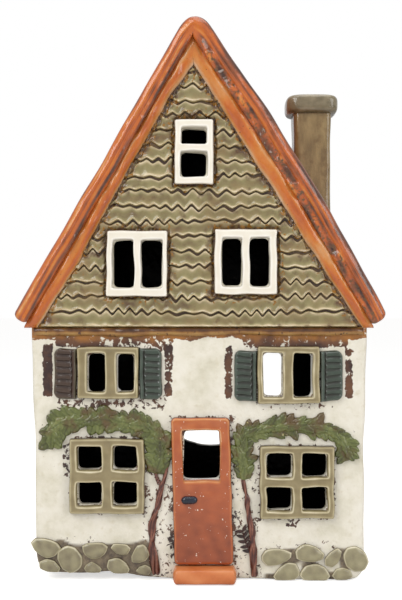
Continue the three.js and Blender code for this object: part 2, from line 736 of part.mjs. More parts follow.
// Plinth stones, outlined by [distance from the body's corner, height]. Their distances fill a run
// from the corner to the foot of the stem.
const leftStones = [
  [[-0.6, 17], [5.4, 17], [10, 14.7], [9.8, 12.6], [6.3, 9.8], [3.5, 10.5], [-0.6, 14]],
  [[11.6, 13.2], [15.6, 14], [18.5, 11.1], [19.8, 8.5], [17.8, 4.5], [13.1, 4.1], [9.8, 10.3]],
  [[20.6, 13.2], [21.4, 15.1], [29.8, 15.3], [30.3, 12.5], [26.5, 9.4], [22.9, 9.8]],
  [[32.4, 15.1], [40.2, 14.7], [39.8, 12.1], [37.8, 10.7], [33.6, 12.2]],
  [[44.4, 15.4], [48, 13.2], [48, 9.2], [42.7, 7.7], [41, 9.2]],
  [[3.6, 8.6], [6.9, 8.6], [9, 7.1], [10.8, 4], [4, 4.2], [1.7, 6.5]],
  [[20.9, 3.8], [22.9, 7.8], [25.8, 7.2], [28.7, 3.8]],
  [[30.9, 7.3], [33.1, 9.2], [37.4, 8.5], [40.2, 3.6], [32.4, 3.6]],
  [[43.3, 5], [48.2, 6.8], [49.4, 2.6], [43.8, 3.2]],
];
const rightStones = [
  [[43.2, 11.7], [38, 13.1], [33.5, 12], [31.5, 10.7], [35.1, 7.8], [39.2, 6.6], [42.8, 7]],
  [[29.3, 10.7], [27.4, 14.5], [23, 14.7], [18.9, 12], [17.9, 10.3], [20.1, 8.6], [27, 8.6]],
  [[13.7, 12.5], [10.4, 13.3], [10.9, 9.3], [12.9, 6.4], [15.3, 6], [17.4, 8]],
  [[8.4, 12.1], [5.6, 13.7], [2.4, 13.3], [-0.6, 9.7], [-0.6, 6.4], [2.7, 4], [6.5, 5.6], [8, 7.6]],
  [[35.5, 6], [31.5, 7.4], [28.9, 5.6], [28.9, 1], [39, 0.8]],
  [[26.2, 4.8], [23, 6.4], [18.9, 6.2], [16.3, 3.6], [15.7, 0.6], [27, 0.8]],
  [[12.9, 3.6], [10.9, 5.2], [8, 4.8], [5.6, 3.1], [6.5, 0.7], [13.7, 0.8]],
];
const stoneRun = 50; // length of the run that the distances were set out for
const stoneProud = 2.2;
const stoneCorner = 1.5;
const stoneTop = 0.76; // size of a stone's flat top against its outline
const leftStemRoom = 8.4; // from the door's edge to the inner end of the run
const rightStemRoom = 6.8;

// Stone: its outline draws in towards the middle as it rises from the facade
function stone(outline) {
  const settings = { depth: 1, steps: 2, bevelEnabled: false, curveSegments: 1 };
  const geometry = new THREE.ExtrudeGeometry(outline, settings);
  const points = geometry.attributes.position;
  const middle = new THREE.Box3().setFromBufferAttribute(points).getCenter(new THREE.Vector3());
  for (let i = 0; i < points.count; i += 1) {
    const rise = points.getZ(i);
    const size = 1 - (1 - stoneTop) * rise ** 3;
    points.setX(i, middle.x + (points.getX(i) - middle.x) * size);
    points.setY(i, middle.y + (points.getY(i) - middle.y) * size);
    points.setZ(i, stoneProud * Math.sin((rise * Math.PI) / 2));
  }
  return solid(geometry.rotateX(Math.PI / 2));
}

function addStones() {
  const sides = [
    [-1, "left", leftStones, -doorLeft + leftStemRoom],
    [1, "right", rightStones, doorRight + rightStemRoom],
  ];
  for (const [side, word, stones, start] of sides) {
    const share = (halfWidth - start) / stoneRun;
    stones.forEach((points, i) => {
      const outline = points.map(([reach, z]) => [side * (halfWidth - reach * share), z]);
      const piece = stone(roundedOutline(outline, stoneCorner));
      addPiece(facade, `${word}_plinth_stone_${i + 1}`, piece, "#9b9075", 0.3);
    });
  }
}

addWalls();
addRoof();
addChimney();
addWindows();
addDoor();
addShutters();
addGableTrim();
addShingles();
addVines();
addStones();

// Origin at the middle of the footprint, on the surface that the house rests on
const house = new THREE.Group();
house.add(body, roof, facade);
const bounds = new THREE.Box3().setFromObject(house);
const centre = bounds.getCenter(new THREE.Vector3());
house.position.set(-centre.x, -centre.y, -bounds.min.z);

export default house;
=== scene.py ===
# House tea light holder in glazed pottery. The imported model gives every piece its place; each
# section below makes the glazed surface of one piece, or of a group of like pieces, on it.
import math

import bmesh
import bpy
import numpy as np
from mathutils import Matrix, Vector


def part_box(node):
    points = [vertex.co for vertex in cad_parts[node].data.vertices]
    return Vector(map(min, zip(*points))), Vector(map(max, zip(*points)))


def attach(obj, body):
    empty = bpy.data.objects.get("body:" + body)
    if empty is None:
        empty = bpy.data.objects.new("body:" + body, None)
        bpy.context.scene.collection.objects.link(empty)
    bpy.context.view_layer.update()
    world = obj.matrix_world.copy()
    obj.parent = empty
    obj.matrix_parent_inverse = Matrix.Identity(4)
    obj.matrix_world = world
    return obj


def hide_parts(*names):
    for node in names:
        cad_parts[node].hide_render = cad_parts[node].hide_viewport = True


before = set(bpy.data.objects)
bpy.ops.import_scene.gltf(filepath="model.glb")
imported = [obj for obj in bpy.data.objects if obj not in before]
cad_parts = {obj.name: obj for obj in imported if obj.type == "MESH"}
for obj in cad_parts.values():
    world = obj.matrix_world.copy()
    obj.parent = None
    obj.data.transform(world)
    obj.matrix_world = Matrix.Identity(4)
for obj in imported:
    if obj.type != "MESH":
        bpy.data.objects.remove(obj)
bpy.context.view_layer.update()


# Studio: a pale sweep under soft daylight, as for a catalogue picture. The camera stands level
# in front of the door. The surroundings are white to the eye, less bright in the gloss, and
# softest as light.
def srgb(code):
    """Linear colour of an sRGB hex code, with full alpha."""
    levels = [int(code[i:i + 2], 16) / 255 for i in (1, 3, 5)]
    return [v / 12.92 if v <= 0.04045 else ((v + 0.055) / 1.055) ** 2.4 for v in levels] + [1.0]


def add_node(tree, kind, inputs, stops=(), **settings):
    """Adds a shader node with its settings and the (position, hex) stops of its colour ramp. Each
    input is given a value, or linked to a socket or to the output of a node."""
    made = tree.nodes.new("ShaderNode" + kind)
    for key, value in settings.items():
        setattr(made, key, value)
    if stops:
        elements = made.color_ramp.elements
        while len(elements) < len(stops):
            elements.new(0.5)
        for element, (at, code) in zip(elements, stops):
            element.position = at
            element.color = srgb(code)
    for key, value in inputs.items():
        if isinstance(value, bpy.types.Node):
            value = next(socket for socket in value.outputs if socket.enabled)
        if isinstance(value, bpy.types.NodeSocket):
            tree.links.new(value, made.inputs[key])
        else:
            made.inputs[key].default_value = value
    return made


def bare_tree(owner):
    """Emptied node tree of a world or a material."""
    owner.use_nodes = True
    owner.node_tree.nodes.clear()
    return owner.node_tree


def box_mm(node):
    """Lowest and highest corner of a CAD node, in mm."""
    low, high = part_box(node)
    return np.array(low) * 1000, np.array(high) * 1000


front_low, front_high = box_mm("front_wall")
facade = front_low[1]

camera_distance = 420.0
camera_across = 0.45
camera_height = 119.0
view_height = 255.0
camera = bpy.data.objects.new("camera", bpy.data.cameras.new("camera"))
camera.data.lens = camera.data.sensor_width * camera_distance / view_height
camera.data.clip_start = 0.01
camera.location = (camera_across / 1000, (facade - camera_distance) / 1000, camera_height / 1000)
camera.rotation_euler = (math.radians(90), 0, 0)
bpy.context.scene.collection.objects.link(camera)
bpy.context.scene.camera = camera
bpy.context.scene.view_settings.view_transform = "Standard"

world = bpy.data.worlds.new("studio")
bpy.context.scene.world = world
tree = bare_tree(world)
rays = add_node(tree, "LightPath", {}).outputs
gloss_share = add_node(tree, "Math", {0: rays["Is Glossy Ray"], 1: 0.6}, operation="MULTIPLY")
seen = add_node(tree, "Math", {0: rays["Is Camera Ray"], 1: gloss_share}, operation="MAXIMUM")
skylight = add_node(tree, "MapRange", {"Value": seen, "To Min": 0.42, "To Max": 1.0})
backdrop = add_node(tree, "Background", {"Color": srgb("#ffffff"), "Strength": skylight})
add_node(tree, "OutputWorld", {"Surface": backdrop})


def soft_lamp(name, place, target, width, height, power):
    """Rectangular lamp at a place in mm, turned to face a target."""
    lamp = bpy.data.objects.new(name, bpy.data.lights.new(name, "AREA"))
    lamp.data.shape = "RECTANGLE"
    lamp.data.size = width / 1000
    lamp.data.size_y = height / 1000
    lamp.data.energy = power
    lamp.location = np.array(place) / 1000
    direction = lamp.location.copy()
    direction[:] = (np.array(target) - place) / 1000
    lamp.rotation_euler = direction.to_track_quat("-Z", "Y").to_euler()
    bpy.context.scene.collection.objects.link(lamp)


# name, place and target in mm, width and height in mm, power in watts
soft_lamp("key_lamp", (-420, -520, 560), (0, 0, 110), 420, 520, 3.3)
soft_lamp("fill_lamp", (520, -460, 330), (0, 0, 110), 300, 520, 1.5)
soft_lamp("top_lamp", (60, -60, 760), (0, 0, 120), 460, 460, 1.6)

floor_reach, floor_gap = 6.0, 0.0002
corners = [(across * floor_reach, deep * floor_reach, 0)
           for across, deep in ((-1, -1), (1, -1), (1, 1), (-1, 1))]
floor_mesh = bpy.data.meshes.new("floor")
floor_mesh.from_pydata(corners, [], [(0, 1, 2, 3)])
floor = bpy.data.objects.new("floor", floor_mesh)
floor.location.z = -floor_gap
bpy.context.scene.collection.objects.link(floor)
paper = bpy.data.materials.new("white_paper_sweep")
tree = bare_tree(paper)
rays = add_node(tree, "LightPath", {}).outputs
card = add_node(tree, "BsdfDiffuse", {"Color": srgb("#efeeec")})
glow_share = add_node(tree, "Math", {0: rays["Is Camera Ray"], 1: 0.62}, operation="MULTIPLY")
glow = add_node(tree, "Emission", {"Color": srgb("#ffffff"), "Strength": glow_share})
both = add_node(tree, "AddShader", {0: card, 1: glow})
add_node(tree, "OutputMaterial", {"Surface": both})
floor_mesh.materials.append(paper)


# Clay body: front, back and side walls of rolled slabs, luted together, dipped in cream slip and
# glazed. A wash of iron was brushed into the corners and wiped off, which leaves ragged brown
# specks round everything that is stuck on. Inside, the walls are painted nearly black as shade.
def waver(across, up, size, seed):
    """Unevenness of hand work, mostly within -1 and 1: a sum of plane waves of about size mm."""
    chance = np.random.default_rng(seed)
    total = 0.0
    for _ in range(7):
        turn, phase = chance.uniform(0, 2 * np.pi, 2)
        length = size * chance.uniform(0.7, 1.5)
        total = total + np.sin((across * np.cos(turn) + up * np.sin(turn)) * 2 * np.pi / length + phase)
    return total / 3


def rise(value, low, high):
    """Smooth step: 0 up to low, 1 from high, and 3t² - 2t³ between them."""
    share = np.clip((value - low) / (high - low), 0, 1)
    return share * share * (3 - 2 * share)


def bell(value, middle, width):
    """Bell curve: 1 at the middle and 1/e at a width from it."""
    return np.exp(-((value - middle) / width) ** 2)


painted_shade_inside = "#14100e"
dimple_mm, dimple_deep = 2.6, 0.0006
grit_mm, grit_deep = 0.7, 0.0002
stoneware_glaze_ior = 1.52


def flecks(code, size, bare, soft=0.02, pull=0.0):
    """Spots of another colour on a glaze: their size in mm, the noise value under which none show,
    the softness of their edges, and how strongly a piece's "stain" attribute brings them on."""
    return code, size, bare, soft, pull


def glaze(name, ramp, mottle_mm=5.0, mottle=0.25, streak=1.0, gloss=0.16, spots=(), coarse=0.35,
          coat=None):
    """Glazed pottery. The tone of a surface, from 0 where glaze pools dark to 1 where it runs thin
    and pale, shifts by a mottle of noise and picks its colour from the ramp of (tone, hex) pairs.
    streak stretches the mottle upwards. spots holds what flecks() gives, and coat() may add more
    colours over them. Surfaces with an "inside" attribute get painted shade: near black, hardly shiny."""
    material = bpy.data.materials.new(name)
    tree = bare_tree(material)
    place = add_node(tree, "TexCoord", {}).outputs["Object"]
    tone, stain, inside = [add_node(tree, "Attribute", {}, attribute_name=key).outputs["Fac"]
                           for key in ("tone", "stain", "inside")]
    flow = add_node(tree, "Mapping", {"Vector": place, "Scale": (1, 1, 1 / streak)})
    broad = add_node(tree, "TexNoise",
                     {"Vector": flow, "Scale": 1000 / mottle_mm, "Detail": 5.0, "Roughness": 0.62})
    shift = add_node(tree, "Math", {0: broad, 1: 2 * mottle, 2: -mottle}, operation="MULTIPLY_ADD")
    shade = add_node(tree, "Math", {0: tone, 1: shift}, operation="ADD")
    colour = add_node(tree, "ValToRGB", {"Fac": shade}, ramp)
    for code, size, bare, soft, pull in spots:
        grains = add_node(tree, "TexNoise", {"Vector": place, "Scale": 1000 / size, "Detail": 3.0})
        drawn = add_node(tree, "Math", {0: stain, 1: pull, 2: grains}, operation="MULTIPLY_ADD")
        shown = add_node(tree, "MapRange", {"Value": drawn, "From Min": bare, "From Max": bare + soft})
        colour = add_node(tree, "Mix", {"Factor": shown, "A": colour, "B": srgb(code)}, data_type="RGBA")
    if coat:
        colour = coat(tree, place, colour)
    # Inside surfaces are mixed to a near-black colour: painted shade.
    colour = add_node(tree, "Mix", {"Factor": inside, "A": colour, "B": srgb(painted_shade_inside)},
                      data_type="RGBA")
    dimples = add_node(tree, "TexNoise", {"Vector": place, "Scale": 1000 / dimple_mm, "Detail": 3.0})
    grit = add_node(tree, "TexNoise", {"Vector": place, "Scale": 1000 / grit_mm, "Detail": 2.0})
    bump = add_node(tree, "Bump", {"Height": dimples, "Strength": coarse, "Distance": dimple_deep})
    bump = add_node(tree, "Bump", {"Height": grit, "Strength": 0.12, "Distance": grit_deep,
                                   "Normal": bump})
    shine = add_node(tree, "MapRange", {"Value": broad, "From Min": 0.3, "From Max": 0.7,
                                        "To Min": gloss * 0.7, "To Max": gloss * 1.5})
    # Inside surfaces also lose most of their specular, so that the painted shade stays dark.
    mirror = add_node(tree, "Math", {0: inside, 1: -0.45, 2: 0.5}, operation="MULTIPLY_ADD")
    surface = add_node(tree, "BsdfPrincipled",
                       {"Base Color": colour, "Roughness": shine, "IOR": stoneware_glaze_ior,
                        "Specular IOR Level": mirror, "Normal": bump})
    add_node(tree, "OutputMaterial", {"Surface": surface})
    return material


def set_shades(mesh, **shades):
    """Stores one number for each point of a mesh under each name."""
    for key, values in shades.items():
        layer = mesh.attributes.new(key, "FLOAT", "POINT")
        layer.data.foreach_set("value", np.ravel(values).astype(np.float32))


def finish_piece(node, mesh, material):
    """Adds a mesh to the house in place of a CAD node, with its material."""
    mesh.materials.clear()
    mesh.materials.append(material)
    piece = bpy.data.objects.new(mesh.name, mesh)
    bpy.context.scene.collection.objects.link(piece)
    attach(piece, "root")
    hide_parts(node)


def merge_doubles(mesh, distance, outwards=False):
    """Merges the points of a mesh that lie within a distance in metres, and can turn its faces
    outwards."""
    shell = bmesh.new()
    shell.from_mesh(mesh)
    bmesh.ops.remove_doubles(shell, verts=shell.verts, dist=distance)
    if outwards:
        bmesh.ops.recalc_face_normals(shell, faces=shell.faces)
    shell.to_mesh(mesh)
    shell.free()


left_lean, right_lean = 1.6, 1.1
lean_low, lean_high = 50, 92
back_low, back_high = box_mm("back_wall")


def soft_copy(node, voxel_mm, seed, depth=0.25, stretch=0.0):
    """Slab as it leaves the potter's hands: the CAD solid remeshed in fine quads, smoothed, and
    moved along its normals by a waver of depth mm. stretch lengthens it at the front and the
    back, so that a side wall is bedded in its neighbours. The sides of the house lean out a
    little under the roof. Returns the mesh and its points in mm."""
    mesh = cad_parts[node].data.copy()
    merge_doubles(mesh, 1e-6)
    draft = bpy.data.objects.new("draft", mesh)
    bpy.context.scene.collection.objects.link(draft)
    remesh = draft.modifiers.new("remesh", "REMESH")
    remesh.mode = "VOXEL"
    remesh.voxel_size = voxel_mm / 1000
    smooth = draft.modifiers.new("smooth", "SMOOTH")
    smooth.factor = 0.5
    smooth.iterations = 4
    made = bpy.data.meshes.new_from_object(draft.evaluated_get(bpy.context.evaluated_depsgraph_get()))
    bpy.data.objects.remove(draft)
    points = np.zeros(len(made.vertices) * 3, np.float32)
    normals = points.copy()
    made.vertices.foreach_get("co", points)
    made.vertices.foreach_get("normal", normals)
    points = points.reshape(-1, 3).astype(float) * 1000
    push = depth * waver(points[:, 0] + 0.7 * points[:, 1], points[:, 2] - 0.6 * points[:, 1], 26, seed)
    points = points + normals.reshape(-1, 3) * push[:, None]
    points[:, 1] += stretch * np.interp(points[:, 1], [front_high[1], back_low[1]], [-1, 1])
    lean = right_lean * rise(points[:, 0], 58, 70) - left_lean * rise(-points[:, 0], 58, 70)
    points[:, 0] += lean * rise(points[:, 2], lean_low, lean_high)
    points[:, 2] = np.maximum(points[:, 2], 0)
    made.vertices.foreach_set("co", (points / 1000).astype(np.float32).ravel())
    made.update()
    made.shade_smooth()
    made.name = f"{node}_clay"
    return made, points


wall = front_high[1] - front_low[1]
ledge_top = box_mm("ledge_band")[1][2]


def indoors(x, y):
    """1 for points on the inner faces of the walls and roof, 0 outside."""
    across = rise(np.minimum(x - front_low[0], front_high[0] - x), wall * 0.6, wall * 0.85)
    deep = rise(np.minimum(y - front_low[1], back_high[1] - y), wall * 0.65, wall * 0.9)
    return across * deep


def from_box(x, z, low_x, high_x, low_z, high_z):
    """Distance in mm of points on the facade from a rectangle, below 0 inside it."""
    gap_x = np.maximum(low_x - x, x - high_x)
    gap_z = np.maximum(low_z - z, z - high_z)
    outside = np.hypot(np.maximum(gap_x, 0), np.maximum(gap_z, 0))
    return outside + np.minimum(np.maximum(gap_x, gap_z), 0)


def band(x, z, low_x, high_x, low_z, high_z, soft):
    """1 inside a rectangle on the facade, falling to 0 over soft mm outside it."""
    return 1 - rise(from_box(x, z, low_x, high_x, low_z, high_z), 0, soft)


def iron_wash(x, z):
    """How much iron wash is left on the plaster, from 0 to 1. A half covers about half of it."""
    drip = 5.0 + np.clip(0.9 * waver(x, 0 * z, 13, 5), -0.5, 1.8)
    wash = 0.68 * rise(z - ledge_top + drip, -0.8, 0.4)
    left_top = box_mm("left_upper_window_frame")[1][2]
    right_top = box_mm("right_upper_window_frame")[1][2]
    under_ledge = ledge_top - 4
    low, high = box_mm("left_lower_window_frame")
    # low x, high x, low z, high z, softness in mm, amount
    smears = [
        (-61, -43, left_top + 0.5, under_ledge, 2.5, 0.66),
        (-43, -12, left_top - 1, under_ledge, 3.0, 0.53),
        (19, 62, right_top, under_ledge, 2.5, 0.64),
        (-60, -16, 73.5, 76.5, 4.0, 0.51),
        (24, 56, 72.5, 74.5, 2.5, 0.42),
        (-57, -44, 15, 18, 3.0, 0.42),
        (24, 60, 13, 16, 3.0, 0.38),
        (37, 41, 23, 25, 2.5, 0.5),
        (23, 26, 20, 34, 2.0, 0.44),
        (low[0] - 2.5, low[0] - 0.5, low[2] + 16, high[2] - 3, 2.5, 0.52)]
    # piece, how far the wash reaches round it in mm, softness in mm, amount
    for node, grow, soft, amount in (
            ("left_vine_stem", 1.5, 3.5, 0.43),
            ("right_vine_stem", 1.0, 3.0, 0.42),
            ("left_foliage", 0.5, 2.0, 0.33),
            ("right_foliage", 0.3, 1.5, 0.3),
            ("door", 0.3, 1.4, 0.5),
            ("right_vine_sprig", 1.0, 2.0, 0.4),
            ("left_upper_window_frame", 0.3, 1.6, 0.5),
            ("right_upper_window_frame", 0.3, 1.2, 0.5),
            ("left_lower_window_frame", 0.3, 1.5, 0.5),
            ("right_lower_window_frame", 0.3, 1.6, 0.5)):
        low, high = box_mm(node)
        smears.append((low[0] - grow, high[0] + grow, low[2] - grow, high[2] + grow, soft, amount))
    for *limits, amount in smears:
        wash = np.maximum(wash, band(x, z, *limits) * amount)
    # shutter, side of it, width of the wash in mm, amount
    for node, side, width, amount in (
            ("left_upper_window_left_shutter", -1, 3.2, 0.74),
            ("left_upper_window_right_shutter", 1, 3.0, 0.62),
            ("right_upper_window_left_shutter", -1, 2.2, 0.68),
            ("right_upper_window_right_shutter", 1, 2.8, 0.6)):
        low, high = box_mm(node)
        near = (low[0] if side < 0 else high[0]) + side * 0.9
        far = near + side * width
        strip = band(x, z, min(near, far), max(near, far), low[2] + 2, high[2] + 1, 2.6)
        wash = np.maximum(wash, strip * amount * rise(side * (x - near), -0.8, 0.0))
    return wash * rise(ledge_top - z, -0.5, 0.5)


def mortar_bed(x, z):
    """How fully brown mortar covers the plinth: all of the left run, and patches of the right one."""
    plinth_top, lower_on_right, left_end, right_end = 15.6, 2.2, -19.6, 27
    under = plinth_top + 0.9 * waver(x, 0 * z, 9, 8) - z
    left = rise(under, -0.4, 0.6) * rise(left_end - x, 0, 1)
    right = rise(under - lower_on_right, -0.4, 0.6) * rise(x - right_end, 0, 1)
    return np.maximum(left, right * rise(waver(x, z, 11, 21), -0.3, 0.0))


def iron_and_mortar(tree, place, cream):
    """Coat over the cream: iron wash in ragged specks, more ochre under the ledge, then mortar."""
    wash, mortar = [add_node(tree, "Attribute", {}, attribute_name=key).outputs["Fac"]
                    for key in ("wash", "mortar")]
    flake_mm, patch_mm = 2.0, 7.0
    ochre_from, ochre_to = 0.099, 0.104
    flakes = add_node(tree, "TexNoise", {"Vector": place, "Scale": 1000 / flake_mm, "Detail": 4.0,
                                         "Roughness": 0.6, "Distortion": 0.45})
    need = add_node(tree, "Math", {0: wash, 1: flakes}, operation="ADD")
    ragged = add_node(tree, "MapRange", {"Value": need, "From Min": 1.0, "From Max": 1.04})
    depth = add_node(tree, "TexNoise", {"Vector": place, "Scale": 1000 / patch_mm, "Detail": 3.0})
    level = add_node(tree, "SeparateXYZ", {"Vector": place}).outputs["Z"]
    ochre = add_node(tree, "MapRange", {"Value": level, "From Min": ochre_from, "From Max": ochre_to,
                                        "To Min": -0.2, "To Max": 0.25})
    warmth = add_node(tree, "Math", {0: ochre, 1: depth}, operation="ADD")
    browns = add_node(tree, "ValToRGB", {"Fac": warmth},
                      ((0.2, "#3a2824"), (0.5, "#6a4630"), (0.8, "#a06a30")))
    washed = add_node(tree, "Mix", {"Factor": ragged, "A": cream, "B": browns}, data_type="RGBA")
    earths = add_node(tree, "ValToRGB", {"Fac": flakes}, ((0.35, "#5c4f43"), (0.68, "#86775f")))
    return add_node(tree, "Mix", {"Factor": mortar, "A": washed, "B": earths}, data_type="RGBA")


ridge_at = (box_mm("left_roof_slab")[1][0] + box_mm("right_roof_slab")[0][0]) / 2
ridge_under = front_high[2] + 1
roof_slope = (ridge_under - box_mm("left_wall")[1][2]) / (front_high[0] - ridge_at)
wall_glaze = glaze(
    "cream_slip_under_clear_glaze",
    ((0.0, "#c6bfa8"), (0.3, "#d9d3c0"), (0.55, "#e3ddcd"), (1.0, "#ede8dc")),
    mottle_mm=7, mottle=0.7, gloss=0.15, coarse=0.6, coat=iron_and_mortar,
    spots=[flecks("#d2c9b1", 3.0, 0.58, 0.25), flecks("#8a7458", 0.8, 0.75)])
# wall, voxel in mm, seed of its waver, stretch in mm
for node, voxel_mm, seed, stretch in (("front_wall", 0.9, 1, 0.0), ("back_wall", 1.3, 2, 0.0),
                                      ("left_wall", 1.3, 3, 1.0), ("right_wall", 1.3, 4, 1.0)):
    mesh, points = soft_copy(node, voxel_mm, seed, stretch=stretch)
    x, y, z = points.T
    facing = (1 - rise(y - facade, 0.8, 2.2)) * (node == "front_wall")
    eaves_line = ridge_under - np.abs(x - ridge_at) * roof_slope
    eaves_wash = 0.52 * rise(z - eaves_line, -9, -1)
    set_shades(mesh, tone=0.55 + 0.12 * waver(x + y, z, 30, seed + 50), inside=indoors(x, y),
               wash=facing * iron_wash(x, z) + (1 - facing) * eaves_wash,
               mortar=facing * mortar_bed(x, z))
    finish_piece(node, mesh, wall_glaze)


# Base slab: set in between the walls on a foot that was wiped bare, so that it doesn't stick to
# the kiln shelf. Its upper face is painted dark as shade, like the rest of the inside.
base_clay = glaze(
    "bare_stoneware_foot",
    ((0.0, "#8d7458"), (1.0, "#b89b78")),
    mottle_mm=6, mottle=0.6, gloss=0.5,
    spots=[flecks("#6b4f38", 0.7, 0.66)])
mesh, points = soft_copy("base_slab", 1.3, 6, depth=0.1)
# The upper face is marked as inside, which paints it near black as shade.
set_shades(mesh, tone=0.5 + 0 * points[:, 0], inside=rise(points[:, 2], 5.6, 6.4))
finish_piece("base_slab", mesh, base_clay)


# Roof: two slabs that lean together, rolled with a soft front edge. The glaze breaks ochre where
# it is thin, runs red-brown in streaks, and the raw dark clay shows in the hollow beside the
# right-hand slab's rounded edge.
def grid_faces(rows, columns, ring=False):
    """Quads of a grid of rows by columns; a ring joins its last column to its first."""
    index = np.arange(rows * columns).reshape(rows, columns)
    if ring:
        index = np.hstack([index, index[:, :1]])
    corners = (index[:-1, :-1], index[:-1, 1:], index[1:, 1:], index[1:, :-1])
    return np.stack(corners, axis=-1).reshape(-1, 4)


def sweep(rows, *shades):
    """Closed piece from a stack of rings: each end is drawn together to its middle point. Returns
    points, quads and the shades, which are padded in the same way."""
    rows = np.concatenate([0 * rows[:1] + rows[0].mean(0), rows, 0 * rows[:1] + rows[-1].mean(0)])
    padded = [np.concatenate([shade[:1], shade, shade[-1:]]).ravel() for shade in shades]
    return rows.reshape(-1, 3), grid_faces(*rows.shape[:2], ring=True), *padded


def make_piece(node, shape, material, slot, **shades):
    """Adds the piece that takes a CAD node's place, from its points in mm, quads and tone: doubles
    are merged, normals are turned outwards, and each shade becomes an attribute of its points."""
    points, faces, tone = shape
    crease = math.radians(52)
    mesh = bpy.data.meshes.new(f"{node}_glazed")
    mesh.vertices.add(len(points))
    mesh.vertices.foreach_set("co", (points / 1000).astype(np.float32).ravel())
    mesh.loops.add(faces.size)
    mesh.loops.foreach_set("vertex_index", faces.astype(np.int32).ravel())
    mesh.polygons.add(len(faces))
    mesh.polygons.foreach_set("loop_start", np.arange(0, faces.size, 4, dtype=np.int32))
    mesh.update(calc_edges=True)
    set_shades(mesh, tone=tone, **shades)
    merge_doubles(mesh, 2e-6, outwards=True)
    mesh.shade_smooth()
    mesh.set_sharp_from_angle(angle=crease)
    finish_piece(node, mesh, material)


pitch_of = {-1: math.radians(60), 1: math.radians(58.2)}
eaves_tip = 79.0
eaves_height = 112.0
slab_low, slab_high = box_mm("left_roof_slab")
roof_front, roof_back = slab_low[1], slab_high[1]
roof_top = slab_high[2]
ridge_x = slab_high[0]
ridge_height = eaves_height + (eaves_tip + ridge_x) * math.tan(pitch_of[-1])


def slope_height(side, x, depth):
    """Height of a line parallel to a slope, depth mm below its outer face."""
    pitch = pitch_of[side]
    return ridge_height - np.abs(x - ridge_x) * math.tan(pitch) - depth / math.cos(pitch)


def slope_across(side, height, depth):
    """Across position of the same line at a height."""
    pitch = pitch_of[side]
    return ridge_x + side * (ridge_height - depth / math.cos(pitch) - height) / math.tan(pitch)


def slab_section(thickness, fall, fall_low, fall_high):
    """Closed loop of (set back from the front, depth below the outer face) round a slab: outer
    face, rounded edge, front, rounded edge, inner face and back. Returns it with how far the
    front falls back at each point: fall mm in a smooth step between two depths."""
    long = roof_back - roof_front
    outer, inner = 2.3, 1.2
    turn = np.linspace(0, np.pi / 2, 7)
    from_sine, from_cosine = 1 - np.sin(turn), 1 - np.cos(turn)
    run = np.linspace(0, 1, 15)[1:-1]
    face = outer + (thickness - outer - inner) * np.linspace(0, 1, 22)[1:-1]
    sides = (
        (outer + (long - 2 * outer) * run[::-1], 0 * run),
        (outer * from_sine, outer * from_cosine),
        (0 * face, face),
        (inner * from_cosine, thickness - inner * from_sine),
        (inner + (long - 2 * inner) * run, 0 * run + thickness),
        (long - inner * from_sine, thickness - inner * from_cosine),
        (long + 0 * face[::4], outer + thickness - inner - face[::4]),
        (long - outer * from_cosine, outer * from_sine))
    loop = np.vstack([np.stack(side, -1) for side in sides])
    return loop, fall * rise(loop[:, 1], fall_low, fall_high) * rise(-loop[:, 0], -4.0, -1.0)


def roof_tone(side, thickness, along, back, distance, depth, lumps, seed):
    """Tone and stain of a roof slab at a share of the way up (along), that way in mm (distance),
    and mm from the front (back) and the outer face (depth). The body is mottled. On the front,
    streaks run up the slope and a painted highlight, a thin pale line, follows the outer edge; the
    left one darkens towards the strip, and the right one's hollow is stained, with pits and paler lumps."""
    front = rise(-back, -5.5, -3.0)
    off_ridge = rise(1 - along, 0.005, 0.06)
    body_tone = 0.5 + 0.1 * waver(distance / 5, back, 10, seed + 6) * off_ridge
    streaks = 0.13 * waver(distance / 4, depth * 5, 9, seed + 7) * off_ridge
    streaks = streaks + 0.07 * waver(distance / 2, depth * 12, 9, seed + 9) * off_ridge
    # thin holds a painted highlight: a pale line just inside the outer rounded edge, broken into dashes.
    thin = bell(depth, 1.35 + 0.3 * waver(distance, 0 * depth, 25, seed + 10), 0.22)
    thin = thin * rise(waver(distance, 0 * depth, 18, seed + 11), -0.6, 0.3) * off_ridge
    edge = bell(depth, 0.35 * thickness, 0.14 * thickness)
    front_tone = 0.5 + 0.06 * edge - 0.14 * bell(depth, 0, 0.9) + 0.3 * thin + streaks
    tone = front * front_tone + (1 - front) * body_tone
    stain = 0 * tone
    if side < 0:
        tone = tone - front * off_ridge * (0.1 * bell(depth, 3.3, 0.7) + 0.24 * rise(depth, 4.6, 5.7))
    else:
        pits = 0.3 + 0.17 * waver(distance / 2, depth * 2.5, 6, seed + 8) + 0.2 * lumps
        tone = tone - front * off_ridge * (0.25 - 0.08 * rise(depth, 1.6, 2.8))
        stain = front * rise(depth, 4.2, 4.9) * off_ridge
        tone = tone * (1 - stain) + pits * stain
        tone = tone + (0.12 + 0.1 * streaks) * front * bell(depth, 4.2, 0.35)
    return tone, stain


